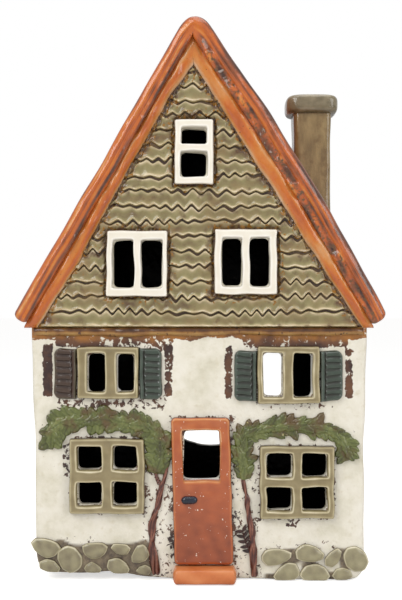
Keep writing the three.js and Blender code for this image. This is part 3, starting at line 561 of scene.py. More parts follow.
def roof_slab(side, thickness, bow, front_fall, seed):
    """Slab swept from the eaves to the ridge plane. Each line of its section runs up the slope to
    the plane; near it the outer face drops in a smooth minimum of both slopes, which rounds the
    ridge. The eaves end draws in as a quarter circle. Returns points, quads, tone, inside and
    stain, and the outer line of the slab as (x, z)."""
    pitch = pitch_of[side]
    loop, hollow = slab_section(thickness, *front_fall)
    end_round, steps = 2.6, 190
    cap = np.linspace(0, np.pi / 2, 7)
    length = (eaves_tip - side * ridge_x) / math.cos(pitch)
    starts = end_round * (1 - np.cos(cap)) / length
    share = np.append(starts, np.linspace(starts[-1], 1, steps)[1:])
    shrink = np.append(end_round * (1 - np.sin(cap)), np.zeros(steps - 1))[:, None]
    along, back = np.meshgrid(share, loop[:, 0], indexing="ij")
    middle = thickness / 2
    depth = middle + (loop[:, 1] - middle) * (1 - shrink / middle)
    half = (roof_back - roof_front) / 2
    back = half + (back - half) * (1 - shrink / half)
    distance = along * (length - depth * math.tan(pitch))
    lift = 4 * bow * along * (1 - along) * (1 - depth / thickness * 0.55)
    lift = lift + 0.22 * waver(distance, back * 0.6, 30, seed) * rise(1 - along, 0, 0.06)
    x = side * (eaves_tip - distance * math.cos(pitch) - depth * math.sin(pitch) + lift * math.sin(pitch))
    z = eaves_height + distance * math.sin(pitch) - depth * math.cos(pitch) + lift * math.cos(pitch)
    low, high = box_mm("left_roof_slab" if side < 0 else "right_roof_slab")
    x = np.clip(x, low[0], high[0])
    blend = 4 * (ridge_height - roof_top)
    from_ridge = np.abs(slope_height(side, x, 0) - ridge_height)
    drop = np.maximum(blend - 2 * from_ridge, 0) ** 2 / (4 * blend) * (1 - depth / thickness)
    z = np.minimum(z - drop, roof_top)
    sink = hollow * rise(1 - along, 0.03, 0.1) * rise(along, 0.02, 0.08)
    lumps = rise(waver(distance, depth, 16, seed + 3), 0.55, 1.0)
    sink = sink * (1 - 0.8 * lumps) * (1 + 0.16 * waver(distance, depth, 3.6, seed + 4))
    ripple = 0.16 * waver(distance, depth * 3, 13, seed + 5) * rise(-back, -3, -1)
    bead = 0.35 * bell(depth, 2.5, 0.7) * rise(-back, -0.6, -0.1)
    y = roof_front + back + np.maximum(sink, 0) + ripple - bead
    tone, stain = roof_tone(side, thickness, along, back, distance, depth, lumps, seed)
    # The underside inside the house is marked as inside, so the glaze paints it near black as shade.
    under = rise(depth, thickness - 1.2, thickness - 0.4) * rise(back, 4.8, 6.5)
    rows = np.stack([x, y, z], -1)
    return sweep(rows, tone, under * indoors(x, y), stain), (x[:, 0], z[:, 0])


terracotta = glaze(
    "iron_red_roof_glaze",
    ((0.0, "#3a2420"), (0.14, "#5b3829"), (0.27, "#874b2e"), (0.41, "#ae592d"), (0.54, "#bf6629"),
     (0.68, "#c67b38"), (0.84, "#cf9866"), (1.0, "#e0bd9c")),
    mottle_mm=4.5, mottle=0.2, streak=1.6, gloss=0.12, coarse=0.3,
    spots=[flecks("#4b2a1f", 1.6, 0.72, 0.04), flecks("#67492f", 1.5, 0.74, 0.16, 0.27)])


# The left front is flat for 4 mm, then a bevel; the right one is an edge of 4 mm, then a hollow
left_fall, right_fall = (0.9, 3.9, 6.6), (1.5, 3.9, 4.9)
crests = {}
# side, word, thickness and bow in mm, fall of the front and the depths between which it falls
for side, word, thickness, bow, front_fall in ((-1, "left", 6.6, 0.0, left_fall),
                                               (1, "right", 7.6, 3.2, right_fall)):
    (*shape, inside, stain), crests[word] = roof_slab(side, thickness, bow, front_fall, 30 + side)
    make_piece(f"{word}_roof_slab", shape, terracotta, "terracotta_glaze", inside=inside, stain=stain)


# Strips along the gable: coils of clay pressed on under the roof slabs, smoothed with a finger
# and glazed like the roof, with ochre where the glaze thins towards the shingles.
bed = 0.4


def eased(count):
    """Numbers from 0 to 1, closest together at both ends: (1 - cos) / 2 of even steps."""
    return (1 - np.cos(np.linspace(0, np.pi, count))) / 2


def quarter(share):
    """Quarter circle: 0 at 0, steep at first, and 1 from 1 on."""
    return np.sqrt(1 - (1 - np.clip(share, 0, 1)) ** 2)


def arched(share, power):
    """Superellipse: 1 at 0, falling to 0 at -1 and at 1, later and steeper for a higher power."""
    return np.sqrt(1 - np.abs(share) ** power)


def relief(x, z, height, faces, tone):
    """Closed piece that lies on the facade: its front points stand height mm before the wall, the
    same grid set bed mm into the wall backs them, and quads along every open edge join the two.
    An edge is open when no other quad has an edge between the same two places."""
    front = np.stack([x, facade - height + 0 * x, z], -1).reshape(-1, 3)
    _, spot = np.unique(np.round(front, 3), axis=0, return_inverse=True)
    spot = spot.ravel()
    back = front.copy()
    back[:, 1] = facade + bed
    count = len(front)
    start, end = faces.ravel(), np.roll(faces, -1, axis=1).ravel()
    key = np.minimum(spot[start], spot[end]) * count + np.maximum(spot[start], spot[end])
    _, first, times = np.unique(key, return_index=True, return_counts=True)
    rim = first[times == 1]
    rim = rim[spot[start[rim]] != spot[end[rim]]]
    sides = np.stack([end[rim], start[rim], start[rim] + count, end[rim] + count], -1)
    tone = np.tile((tone + 0 * x).ravel(), 2)
    return np.vstack([front, back]), np.vstack([faces, faces[:, ::-1] + count, sides]), tone


def joined(parts):
    """One list of points, quads and tones from those of several closed parts."""
    offsets = np.cumsum([0] + [len(part[0]) for part in parts[:-1]])
    faces = np.vstack([part[1] + offset for part, offset in zip(parts, offsets)])
    return np.vstack([part[0] for part in parts]), faces, np.concatenate([part[2] for part in parts])


def gable_strip(side, outer, inner, pale, seed):
    """Strip from the ridge plane down to the ledge. Its outer and inner edges keep the depths
    below the slope given as (share of the way down, depth) pairs. Its face stands full against
    the roof slab and rounds down to the shingles as a quarter of an ellipse. pale lifts the tone."""
    proud, long = 3.6, 140
    share, v = np.meshgrid(np.linspace(0, 1, 230), eased(21), indexing="ij")
    low = np.interp(share, *zip(*outer)) + 0.22 * waver(share * long, 0 * v, 17, seed)
    high = np.interp(share, *zip(*inner)) + 0.3 * waver(share * long, 0 * v, 12, seed + 1)
    depth = low + (high - low) * v
    top = slope_height(side, ridge_x, depth)
    z = top + share * (ledge_top - 0.4 - top)
    x = slope_across(side, z, depth)
    arch = arched(np.clip((v - 0.4) / 0.6, 0, 1), 2.4) * (0.8 + 0.2 * rise(v, 0, 0.35))
    uneven = 0.09 * waver(share * long, v * 9, 11, seed + 2) * rise(share, 0, 0.05)
    height = proud * arch * (1 + uneven) * quarter((1 - share) / 0.015)
    tone = 0.5 + 0.11 * waver(share * 40, v * 14, 9, seed + 3) * rise(share, 0, 0.05)
    tone = tone - 0.34 * (1 - rise(v, 0, 0.1)) + 0.16 * bell(v, 0.24, 0.09)
    tone = tone + 0.36 * rise(v, 0.76, 0.97) + 0.15 * rise(-share, -0.12, 0)
    return relief(x, z, height, grid_faces(*x.shape), tone + pale * rise(share, 0, 0.1))


left_outer = ((0, 6.1), (1, 6.1))
left_inner = ((0, 12.6), (0.16, 10.9), (0.5, 11.0), (0.78, 12.8), (1, 11.3))
right_outer = ((0, 7.2), (0.25, 6.1), (0.5, 5.7), (0.75, 6.1), (1, 7.2))
right_inner = ((0, 13.3), (0.2, 12.9), (0.5, 12.4), (0.78, 11.9), (1, 11.8))
for side, word, outer, inner, pale in ((-1, "left", left_outer, left_inner, 0.02),
                                       (1, "right", right_outer, right_inner, 0.07)):
    make_piece(f"{word}_bargeboard", gable_strip(side, outer, inner, pale, 40 + side), terracotta,
               "terracotta_glaze")


# Shingles: one sheet of clay cut into wavy courses. The glaze breaks pale on each wavy edge, pools
# olive in the middle, and iron wash stays by the strips and by the windows. The dark furrows are
# partly that iron wash and partly painted shade.
course_height = 6.4
wave_length = 5.9
wave_depth = 1.15
furrow_width = 0.34
zigzag_share = 0.82
under_frame = 1.2
gable_frames = [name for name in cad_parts
                if name.endswith("window_frame") and box_mm(name)[0][2] > ledge_top]


def course_edge(x, course, chance):
    """Height of a wavy edge at x: a softened zigzag whose depth and phase drift along it."""
    pick = chance[course]
    turn = 2 * np.pi * (x / wave_length + pick[..., 0] + 0.3 * np.sin(x / 9.0 + 9 * pick[..., 1]))
    zigzag = np.arcsin(zigzag_share * np.sin(turn)) / np.arcsin(zigzag_share)
    swell = 0.72 + 0.4 * np.sin(x / 9.0 + 12 * pick[..., 2])
    slow = 0.6 * np.sin(x / 15.0 + 7 * pick[..., 3])
    return ledge_top + course * course_height + wave_depth * swell * zigzag + slow


def shingle_sheet():
    """One grid over the gable: columns fan from strip to strip. Each course takes the rows from its
    wavy lower edge up to a furrow, which follows the lower edge of the next course."""
    chance = np.random.default_rng(17).random((40, 4))
    columns, left_inset, right_inset = 262, 9.6, 10.4
    apex = slope_height(-1, ridge_x, 11.0) - 3.4
    courses = int((apex - ledge_top) / course_height) + 1
    stations = np.array([0.0, 0.04, 0.1, 0.17, 0.28, 0.42, 0.58, 0.72, 0.83, 0.9, 0.96, 1.0])
    course, station = np.meshgrid(np.arange(courses), stations, indexing="ij")
    course, station = course.ravel()[:, None], station.ravel()[:, None]
    level = np.minimum(ledge_top + (course + 0.85 * station) * course_height, apex)
    left, right = slope_across(-1, level, left_inset), slope_across(1, level, right_inset)
    x = left + (right - left) * np.linspace(0, 1, columns)
    low = np.where(course > 0, course_edge(x, course, chance), ledge_top)
    furrow = furrow_width * (1.3 + np.clip(1.3 * waver(x, course * 9.0, 13, 60), -0.6, 2.2))
    high = course_edge(x, course + 1, chance) - furrow
    z = low + station * (high - low)
    z = np.minimum(z, apex + 0.001 * (course + station))
    return x, z, station + 0 * x


def from_strip(x, z, side, at_ledge, at_ridge):
    """Distance in mm from a strip's inner edge, whose depth below the slope changes upwards."""
    across = side * (slope_across(side, z, 0) - x) * math.sin(pitch_of[side])
    return across - np.interp(z, [ledge_top, 219], [at_ledge, at_ridge])


x, z, station = shingle_sheet()
from_edge = np.minimum(station, 1 - station)
rim = bell(from_edge, 0.1, 0.095)
wall_up = rise(from_edge, 0.0, 0.06)
height = 1.6 + 0.65 * rim + 0.35 * (1 - station) + 0.16 * waver(x, z, 6, 61)
height = 0.95 + (height - 0.95) * wall_up
tone = 0.38 + 0.5 * rim - 0.09 * rise(from_edge, 0.25, 0.5) + 0.07 * waver(x, z, 16, 62)
# Darkens the furrow under each course: partly iron wash, partly painted shade.
tone = 0.03 + (tone - 0.03) * wall_up
near = np.minimum(from_strip(x, z, -1, 11.2, 12.0), from_strip(x, z, 1, 11.8, 13.2))
torn = np.maximum(1.7 + 1.0 * waver(x * 2, z * 2, 6, 63), 0.4)
worn = 1 - rise(near, torn * 0.4, torn)
stain = 1 - rise(near, 1.0, 7.0)
faces = grid_faces(*x.shape)
middle_x, middle_z = x.ravel()[faces].mean(1), z.ravel()[faces].mean(1)
covered = np.zeros(len(faces), bool)
for name in gable_frames:
    low, high = box_mm(name)
    gap = from_box(x, z, low[0], high[0], low[2], high[2])
    ragged = np.clip(waver(x, z, 5, 64), -0.8, 1.5)
    worn = np.maximum(worn, 1 - rise(gap, 0.5 + 0.3 * ragged, 1.4 + 0.5 * ragged))
    stain = np.maximum(stain, 1 - rise(gap, 1.0, 6.0))
    within = (low[0] + under_frame, high[0] - under_frame, low[2] + under_frame, high[2] - under_frame)
    covered |= from_box(middle_x, middle_z, *within) < 0
height = height * (1 - 0.6 * worn) + 0.32 * worn * (0.6 + waver(x, z, 1.7, 66))
tone = tone * (1 - worn) + worn * (0.13 + 0.12 * waver(x, z, 1.9, 67))
shingle_glaze = glaze(
    "olive_ash_shingle_glaze",
    ((0.0, "#3a251a"), (0.12, "#573f2e"), (0.24, "#776848"), (0.38, "#8a8058"), (0.56, "#a1946d"),
     (0.76, "#c4b28c"), (1.0, "#e3d6ba")),
    mottle_mm=6.0, mottle=0.24, gloss=0.15, coarse=0.25,
    spots=[flecks("#8a6f4a", 13.0, 0.5, 0.3), flecks("#5e4530", 4.0, 0.6, 0.2, 0.13),
           flecks("#8f6426", 1.8, 0.72, 0.06, 0.17)])
make_piece("gable_shingles", relief(x, z, np.maximum(height, 0.12), faces[~covered], tone),
           shingle_glaze, "shingle_glaze", stain=np.tile(stain.ravel(), 2))


# Ledge: a coil of clay smoothed along the top of the plastered storey, under the shingles. Its
# ochre glaze lies over iron, thin and pale along both edges and dark between them; that dark band
# under the shingles is partly the iron and partly painted shade.
ledge_glaze = glaze(
    "ochre_ledge_glaze",
    ((0.0, "#2f1f18"), (0.25, "#5d3b22"), (0.5, "#8a5f2e"), (0.75, "#a98246"), (1.0, "#cfae76")),
    mottle_mm=4.5, mottle=0.3, gloss=0.14,
    spots=[flecks("#4a2d1f", 1.6, 0.62, 0.06)])
low, high = box_mm("ledge_band")
past_left, past_right = 2.2, 1.0
ledge_proud = 1.75
share, v = np.meshgrid(np.linspace(0, 1, 300), eased(15))
x = low[0] - past_left + (high[0] - low[0] + past_left + past_right) * share
thick = 3.7 + 0.35 * waver(x, 0 * v, 23, 71)
z = high[2] - 0.05 - (1 - v) * thick + 0.3 * waver(x, 0 * v, 31, 72) * (1 - v)
arch = arched(2 * v - 1, 2.2) * arched(2 * share - 1, 90)
height = ledge_proud * arch * (1 + 0.12 * waver(x, v * 5, 9, 73))
# The upper part is dark under the shingle sheet: partly iron, partly painted shade.
tone = 0.6 - 0.4 * rise(v, 0.36, 0.6) + 0.45 * rise(v, 0.84, 0.95) + 0.1 * waver(x, v * 8, 8, 74)
make_piece("ledge_band", relief(x, z, height, grid_faces(*x.shape), tone), ledge_glaze, "ochre_glaze")


# Window frames: small slabs with panes cut out by knife. The glaze softens every arris, breaks
# pale along them and pools in between. White slip covers the three frames in the gable.
def pane_cells(width, height, side, rail, bar, columns, shares, shift):
    """Panes of a frame and the cell of clay round each, as pairs of (low x, low z, high x, high z)
    about the frame's centre. Cells meet along the middles of the bars."""
    pane_width = (width - 2 * side - (columns - 1) * bar) / columns
    pane_heights = np.array(shares) * (height - 2 * rail - (len(shares) - 1) * bar)
    lefts = side - width / 2 + np.arange(columns) * (pane_width + bar) + shift
    bottoms = rail - height / 2 + np.append(0, np.cumsum(pane_heights[:-1] + bar))
    across = [-width / 2, *(lefts[1:] - bar / 2), width / 2]
    up = [-height / 2, *(bottoms[1:] - bar / 2), height / 2]
    return [((left, bottom, left + pane_width, bottom + tall),
             (across[column], up[row], across[column + 1], up[row + 1]))
            for row, (bottom, tall) in enumerate(zip(bottoms, pane_heights))
            for column, left in enumerate(lefts)]


def rectangle_loop(corners, count):
    """Points round a rectangle from its lower left corner, count to a side, closest at corners."""
    low_x, low_z, high_x, high_z = corners
    t = eased(count + 1)[:-1]
    across, up = (high_x - low_x) * t, (high_z - low_z) * t
    x = np.concatenate([low_x + across, high_x + 0 * t, high_x - across, low_x + 0 * t])
    z = np.concatenate([low_z + 0 * t, low_z + up, high_z + 0 * t, high_z - up])
    return x, z


def round_corners(x, z, half_x, half_z, radius):
    """Draws points outside a rounded rectangle about the origin in to its corner circles."""
    over_x = np.maximum(np.abs(x) - (half_x - radius), 0)
    over_z = np.maximum(np.abs(z) - (half_z - radius), 0)
    length = np.hypot(over_x, over_z)
    scale = np.where(length > radius, radius / np.maximum(length, 1e-9), 1.0)
    new_x = np.sign(x) * (np.minimum(np.abs(x), half_x - radius) + over_x * scale)
    new_z = np.sign(z) * (np.minimum(np.abs(z), half_z - radius) + over_z * scale)
    return new_x, new_z


def cut_slab(cells, width, height, proud, seed, count=24, rings=17, edge=0.8, dip=0.0, wobble=0.2,
             corner=1.0, lean=0.0):
    """Slab with panes cut out. Each cell is a grid of rings from its pane's rounded outline to the
    cell's own; the height follows a quarter circle within edge mm of any cut. Returns x, z,
    height, quads and tone."""
    pane_corner = 0.9
    parts = []
    for pane, cell in cells:
        centre_x, centre_z = (pane[0] + pane[2]) / 2, (pane[1] + pane[3]) / 2
        half_x, half_z = (pane[2] - pane[0]) / 2, (pane[3] - pane[1]) / 2
        pane_x, pane_z = rectangle_loop(pane, count)
        pane_x, pane_z = round_corners(pane_x - centre_x, pane_z - centre_z, half_x, half_z, pane_corner)
        pane_x, pane_z = pane_x + centre_x, pane_z + centre_z
        cell_x, cell_z = round_corners(*rectangle_loop(cell, count), width / 2, height / 2, corner)
        x = pane_x + (cell_x - pane_x) * eased(rings)[:, None]
        z = pane_z + (cell_z - pane_z) * eased(rings)[:, None]
        from_pane = np.hypot(x - pane_x, z - pane_z)
        inner_x, inner_z = width / 2 - corner, height / 2 - corner
        from_rim = np.maximum(corner - from_box(x, z, -inner_x, inner_x, -inner_z, inner_z), 0)
        cut = np.minimum(from_pane, from_rim)
        face = proud * quarter(cut / edge) - dip * rise(cut, edge * 0.8, edge * 2.6)
        face = face + 0.1 * waver(x, z, 9, seed) * np.clip(cut / edge, 0, 1)
        tone = 0.42 + 0.5 * (bell(from_pane, 0.6, 0.4) + 0.6 * bell(from_rim, 0.7, 0.4))
        tone = tone - 0.55 * bell(from_rim, 0, 0.25) + 0.05 * waver(x, z, 6, seed + 1)
        x = x + wobble * waver(x, z, 15, seed + 2) + lean * z
        z = z + wobble * waver(z, x, 15, seed + 3)
        parts.append([np.hstack([value, value[:, :1]]).ravel()
                      for value in (x, z, np.maximum(face, 0), tone)])
    x, z, face, tone = [np.concatenate(values) for values in zip(*parts)]
    size = rings * (4 * count + 1)
    faces = np.vstack([grid_faces(rings, 4 * count + 1) + i * size for i in range(len(parts))])
    return x, z, face, faces, tone


white_glaze = glaze(
    "white_slip_frame_glaze",
    ((0.0, "#4e3a30"), (0.12, "#b7a48c"), (0.3, "#e3dac8"), (0.6, "#efe9dc"), (1.0, "#f6f2e9")),
    mottle_mm=6.0, mottle=0.1, gloss=0.13, coarse=0.2)
olive_glaze = glaze(
    "olive_frame_glaze",
    ((0.0, "#3c2e22"), (0.2, "#6f6146"), (0.42, "#8b7d5b"), (0.62, "#a39672"), (0.85, "#cabe9c"),
     (1.0, "#e2dac2")),
    mottle_mm=6.0, mottle=0.14, gloss=0.14, coarse=0.2)
# name: side, rail and bar in mm, columns, shares of the rows, shift of the panes in mm
frame_plans = {
    "attic_window_frame": (2.9, 3.6, 3.3, 1, (0.61, 0.39), 0.0),
    "left_gable_window_frame": (2.5, 4.0, 3.2, 2, (1.0,), 0.3),
    "right_gable_window_frame": (3.4, 3.7, 3.5, 2, (1.0,), 0.0),
    "left_upper_window_frame": (3.3, 3.1, 5.2, 2, (1.0,), 1.2),
    "right_upper_window_frame": (2.9, 3.1, 4.8, 2, (1.0,), -0.3),
    "left_lower_window_frame": (3.5, 3.4, 5.0, 2, (0.5, 0.5), 0.0),
    "right_lower_window_frame": (3.1, 3.4, 4.3, 2, (0.5, 0.5), 0.0),
}
for seed, (name, plan) in enumerate(frame_plans.items(), 80):
    low, high = box_mm(name)
    width, _, tall = high - low
    white = name in gable_frames
    x, z, face, faces, tone = cut_slab(pane_cells(width, tall, *plan), width, tall, high[1] - low[1],
                                       7 * seed, edge=0.65 if white else 0.8, dip=0.0 if white else 0.3)
    shape = relief(x + (low[0] + high[0]) / 2, z + (low[2] + high[2]) / 2, face, faces, tone)
    make_piece(name, shape, white_glaze if white else olive_glaze,
               "white_frame_glaze" if white else "olive_frame_glaze")


# Door: a slab with one pane cut out, glazed brick red with fine white specks, a rolled handle in
# deep blue, and a thick rolled step at its foot.
door_glaze = glaze(
    "brick_red_door_glaze",
    ((0.0, "#4a2a22"), (0.2, "#86442b"), (0.4, "#a75632"), (0.6, "#bb6b3d"), (0.82, "#cf8e59"),
     (1.0, "#e0b994")),
    mottle_mm=9.0, mottle=0.13, gloss=0.12, coarse=0.3,
    spots=[flecks("#ece2d2", 1.1, 0.70)])
low, high = box_mm("door")
lean = -0.026
leaning_height = 62
pane_middle = (0.1, 53.2)
pane_half = (7.8, 10.5)
width, tall = high[0] - low[0] - abs(lean) * leaning_height, high[2] - low[2]
middle_x, middle_z = (low[0] + high[0]) / 2, (low[2] + high[2]) / 2
pane = (pane_middle[0] - pane_half[0], pane_middle[1] - middle_z - pane_half[1],
        pane_middle[0] + pane_half[0], pane_middle[1] - middle_z + pane_half[1])
x, z, face, faces, tone = cut_slab([(pane, (-width / 2, -tall / 2, width / 2, tall / 2))], width, tall,
                                   high[1] - low[1], 910, count=30, rings=30, edge=1.0, wobble=0.14,
                                   corner=2.2, lean=lean)
tone = tone - 0.16 * rise(-z, -8, 26) + 0.1 * rise(z, 18, 30)
make_piece("door", relief(x + middle_x, z + middle_z, face, faces, tone), door_glaze, "door_glaze")


def squarish(value, power):
    """Sine or cosine of a superellipse: its size to the 2 / power, with its sign."""
    return np.sign(value) * np.abs(value) ** (2 / power)


def roll(start, end, half_deep, half_tall, power, ends, seed, count, sides):
    """Roll of clay laid across: a superellipse section carried from start to end, both (x, y, z),
    that draws in over the last ends mm as a quarter ellipse."""
    turn = np.linspace(0, 2 * np.pi, sides, endpoint=False)
    along, angle = np.meshgrid(eased(count), turn, indexing="ij")
    from_end = np.minimum(along, 1 - along) * (end[0] - start[0])
    draw = np.maximum(quarter(from_end / ends), 0.02)
    x, y, z = [low + (high - low) * along for low, high in zip(start, end)]
    y = y + half_deep * squarish(np.cos(angle), power) * draw
    z = z + half_tall * squarish(np.sin(angle), power) * draw
    y = y + 0.12 * waver(x, z, 8, seed) * draw
    # The 0.12 * sin(angle) term paints the upper side lighter and the underside darker: painted light and
    # shade.
    tone = 0.5 + 0.12 * waver(x, z + y, 8, seed + 1) + 0.12 * np.sin(angle)
    return sweep(np.stack([x, y, z], -1), tone)


low, high = box_mm("door_handle")
handle_glaze = glaze(
    "cobalt_handle_glaze",
    ((0.0, "#0d0f17"), (0.6, "#1b2233"), (1.0, "#3a4258")),
    mottle_mm=2.5, mottle=0.3, gloss=0.1)
middle_y, middle_z = high[1] - 0.1, (low[2] + high[2]) / 2
shape = roll((low[0], middle_y, middle_z), (high[0], middle_y, middle_z + 0.1), half_deep=1.7,
             half_tall=1.65, power=2.2, ends=1.7, seed=121, count=30, sides=24)
make_piece("door_handle", shape, handle_glaze, "handle_glaze")

low, high = box_mm("doorstep")
step_glaze = glaze(
    "orange_step_glaze",
    ((0.0, "#7c3d22"), (0.3, "#b4602f"), (0.5, "#cb7541"), (0.75, "#d98c58"), (1.0, "#e8ab7c")),
    mottle_mm=8.0, mottle=0.2, gloss=0.1, coarse=0.2)
room = 0.2
half_deep = (high[1] - low[1] + 1.8) / 2
middle_y, half_tall = low[1] + room + half_deep, (high[2] - low[2]) / 2
shape = roll((low[0], middle_y, half_tall), (high[0], middle_y, half_tall), half_deep, half_tall,
             power=4.2, ends=1.8, seed=131, count=90, sides=48)
make_piece("doorstep", shape, step_glaze, "step_glaze")


# Shutters: slats pressed into thin slabs, with a plain stile beside the frame. Dark green glaze
# pools in the furrows, and the brown clay shows through on the left one.
green_ramp = ((0.0, "#1d1814"), (0.25, "#2f302a"), (0.5, "#3f4a40"), (0.75, "#566058"), (1.0, "#8a8f84"))
brown_ramp = ((0.0, "#1a1411"), (0.25, "#35261f"), (0.5, "#48372c"), (0.75, "#57503f"), (1.0, "#8b8674"))
green_glaze, brown_glaze = [glaze(name, ramp, mottle_mm=6.0, mottle=0.2, gloss=0.13, coarse=0.25)
                            for name, ramp in (("dark_green_shutter_glaze", green_ramp),
                                               ("brown_green_shutter_glaze", brown_ramp))]


def shutter(low, high, outward, seed):
    """Slatted shutter: the height is a saw of eight slats across most of the width, and the outer
    corners are rounded by drawing in the ends of the rows."""
    proud, edge, corner, slats, furrow = 2.2, 1.1, 3.0, 8, 0.6
    width, _, tall = high - low
    v, u = np.meshgrid(eased(150), eased(40), indexing="ij")
    end = np.minimum(v, 1 - v) * tall
    draw = corner * (1 - quarter(end / corner))
    inner = low[0] if outward > 0 else high[0]
    reach = u * (width - draw)
    x = inner + outward * reach + 0.15 * waver(v * tall, u, 12, seed)
    z = low[2] + v * tall + 0.25 * waver(reach, v * 4, 12, seed + 1)
    slat = (v * slats + 0.1 * waver(reach, v * tall, 9, seed + 2)) % 1
    ridge = rise(slat, 0, 0.25) * (1 - rise(slat, 0.5, 1.0))
    left = width - draw - reach
    between = (1 - ridge) * rise(reach, 2.2, 2.9) * rise(left, 0.5, 1.6)
    groove = bell(reach, 2.1, 0.35)
    cut = np.minimum(np.minimum(reach, left), end)
    face = proud * quarter(cut / edge) - furrow * (between + groove) * np.clip(cut / edge, 0, 1)
    tone = 0.46 - 0.2 * between - 0.3 * groove + 0.22 * bell(cut, 0.5, 0.4)
    tone = tone - 0.45 * bell(cut, 0, 0.2) + 0.15 * rise(-reach, -1.8, -0.5)
    return relief(x, z, np.maximum(face, 0), grid_faces(*x.shape), tone)


for window, word, material, seed in (("left", "left", brown_glaze, 420),
                                     ("left", "right", green_glaze, 423),
                                     ("right", "left", green_glaze, 426),
                                     ("right", "right", green_glaze, 429)):
    name = f"{window}_upper_window_{word}_shutter"
    outward = -1 if word == "left" else 1
    make_piece(name, shutter(*box_mm(name), outward, seed), material, "shutter_glaze")


# Vines: a twisted stem of two thin coils climbs beside each edge of the door, and pinched leaves
# were pressed over the lower windows one over another, veined with a needle.
def strand(path, radii, seed):
    """Coil of clay along a path of (x, z) points: a round section of changing radius, half sunk in
    the wall, with bark ridges that wind round it. A running mean rounds the bends of the path."""
    path = np.array(path, float)
    sunk = 0.35
    knots = np.linspace(0, 1, len(path))
    t = np.linspace(0, 1, 16 * len(path))
    kernel = np.hanning(19) / np.hanning(19).sum()
    x, z = [np.convolve(np.pad(np.interp(t, knots, line), 9, "edge"), kernel, "valid")
            for line in path.T]
    radius = np.interp(t, knots, radii) * (1 + 0.12 * waver(t * 50, 0 * t, 6, seed))
    radius = radius * np.maximum(arched(2 * t - 1, 24), 0.02 ** 0.5)
    slope_x, slope_z = np.gradient(x), np.gradient(z)
    length = np.hypot(slope_x, slope_z)
    turn = np.linspace(0, 2 * np.pi, 14, endpoint=False)
    bark = 1 + 0.13 * np.sin(3 * turn + 30 * t[:, None])
    out = radius[:, None] * bark * np.cos(turn)
    points = np.stack([x[:, None] + (slope_z / length)[:, None] * out,
                       facade - sunk - radius[:, None] * bark * np.sin(turn),
                       z[:, None] - (slope_x / length)[:, None] * out], -1)
    return sweep(points, 0.45 + 2.2 * (bark - 1) + 0.1 * np.sin(turn))


def twisted(points, spread, turns, seed):
    """Two strands that wind round a middle line."""
    middle = np.array(points, float)
    count = len(middle)
    parts = []
    for phase in (0, np.pi):
        angle = np.linspace(0, turns * 2 * np.pi, count) + phase
        offset = np.linspace(*spread, count) * np.cos(angle)
        path = middle + np.stack([offset, 0 * offset], -1)
        parts.append(strand(path, np.linspace(0.7, 1.3, count), seed + int(phase)))
    return parts


stem_glaze = glaze(
    "iron_brown_stem_glaze",
    ((0.0, "#2a1614"), (0.3, "#45241e"), (0.55, "#5f3429"), (0.8, "#80503f"), (1.0, "#b59078")),
    mottle_mm=2.5, mottle=0.3, gloss=0.13,
    spots=[flecks("#d8cdb6", 1.3, 0.74)])
left_stem = [(-13.8, 51.2), (-14.8, 44.2), (-16.2, 40), (-16.9, 37.2), (-18, 31.5), (-18.9, 28.7),
             (-20.4, 24.5), (-20.2, 19.6), (-20.6, 15.4), (-19.5, 9.7), (-18.6, 1.6)]
right_stem = [(18.1, 44.3), (19.3, 37.6), (20.2, 34.6), (20.2, 31.5), (20.7, 27.5), (21.6, 23.4),
              (22.3, 19.4), (22.4, 15.3), (22.6, 11.9), (22.8, 6.8), (23.1, 0.9)]
side_branch = strand([(-19.3, 47), (-18.4, 43.6), (-17.1, 40.6)], [0.5, 0.8, 0.9], 205)
make_piece("left_vine_stem", joined(twisted(left_stem, (0.3, 0.95), 1.6, 200) + [side_branch]),
           stem_glaze, "stem_glaze")
make_piece("right_vine_stem", joined(twisted(right_stem, (0.25, 0.8), 1.9, 210)), stem_glaze,
           "stem_glaze")


def leaf(x, z, heading, length, width, lobes, lift, seed):
    """Leaf on a grid along (u) and across (v) its rib: the outline swells and comes to a point,
    with lobes; the face is domed with a scratched rib and side veins, and the tip stands off."""
    u, v = np.meshgrid(np.linspace(0, 1, 17), np.linspace(-1, 1, 13), indexing="ij")
    half = width / 2 * np.sin(np.pi * u ** 0.72) ** 0.75 * (1 + lobes * np.cos(u * 4.6 * np.pi))
    half = np.maximum(half, 0.02)
    bend = 0.12 * length * math.sin(seed * 1.7) * u ** 2
    along, across = u * length, v * half + bend
    px = x + along * math.cos(heading) - across * math.sin(heading)
    pz = z + along * math.sin(heading) + across * math.cos(heading)
    rib = bell(v * half, 0, 0.32)
    veins = np.sin((u * 9 - np.abs(v) * 2.4) * np.pi) * (1 - rib)
    dome = arched(v, 3) * rise(u, -0.02, 0.1) * rise(1 - u, -0.02, 0.12)
    height = (lift + 0.5 * u) * (0.35 + 0.65 * dome) + (0.6 - 0.25 * rib + 0.06 * veins) * dome
    tone = 0.45 + 0.1 * math.sin(seed * 2.3) + 0.2 * (1 - dome) * (lift > 0.9) - 0.15 * rib + 0.06 * veins
    return relief(px, pz, np.maximum(height, 0.1), grid_faces(*u.shape), tone)


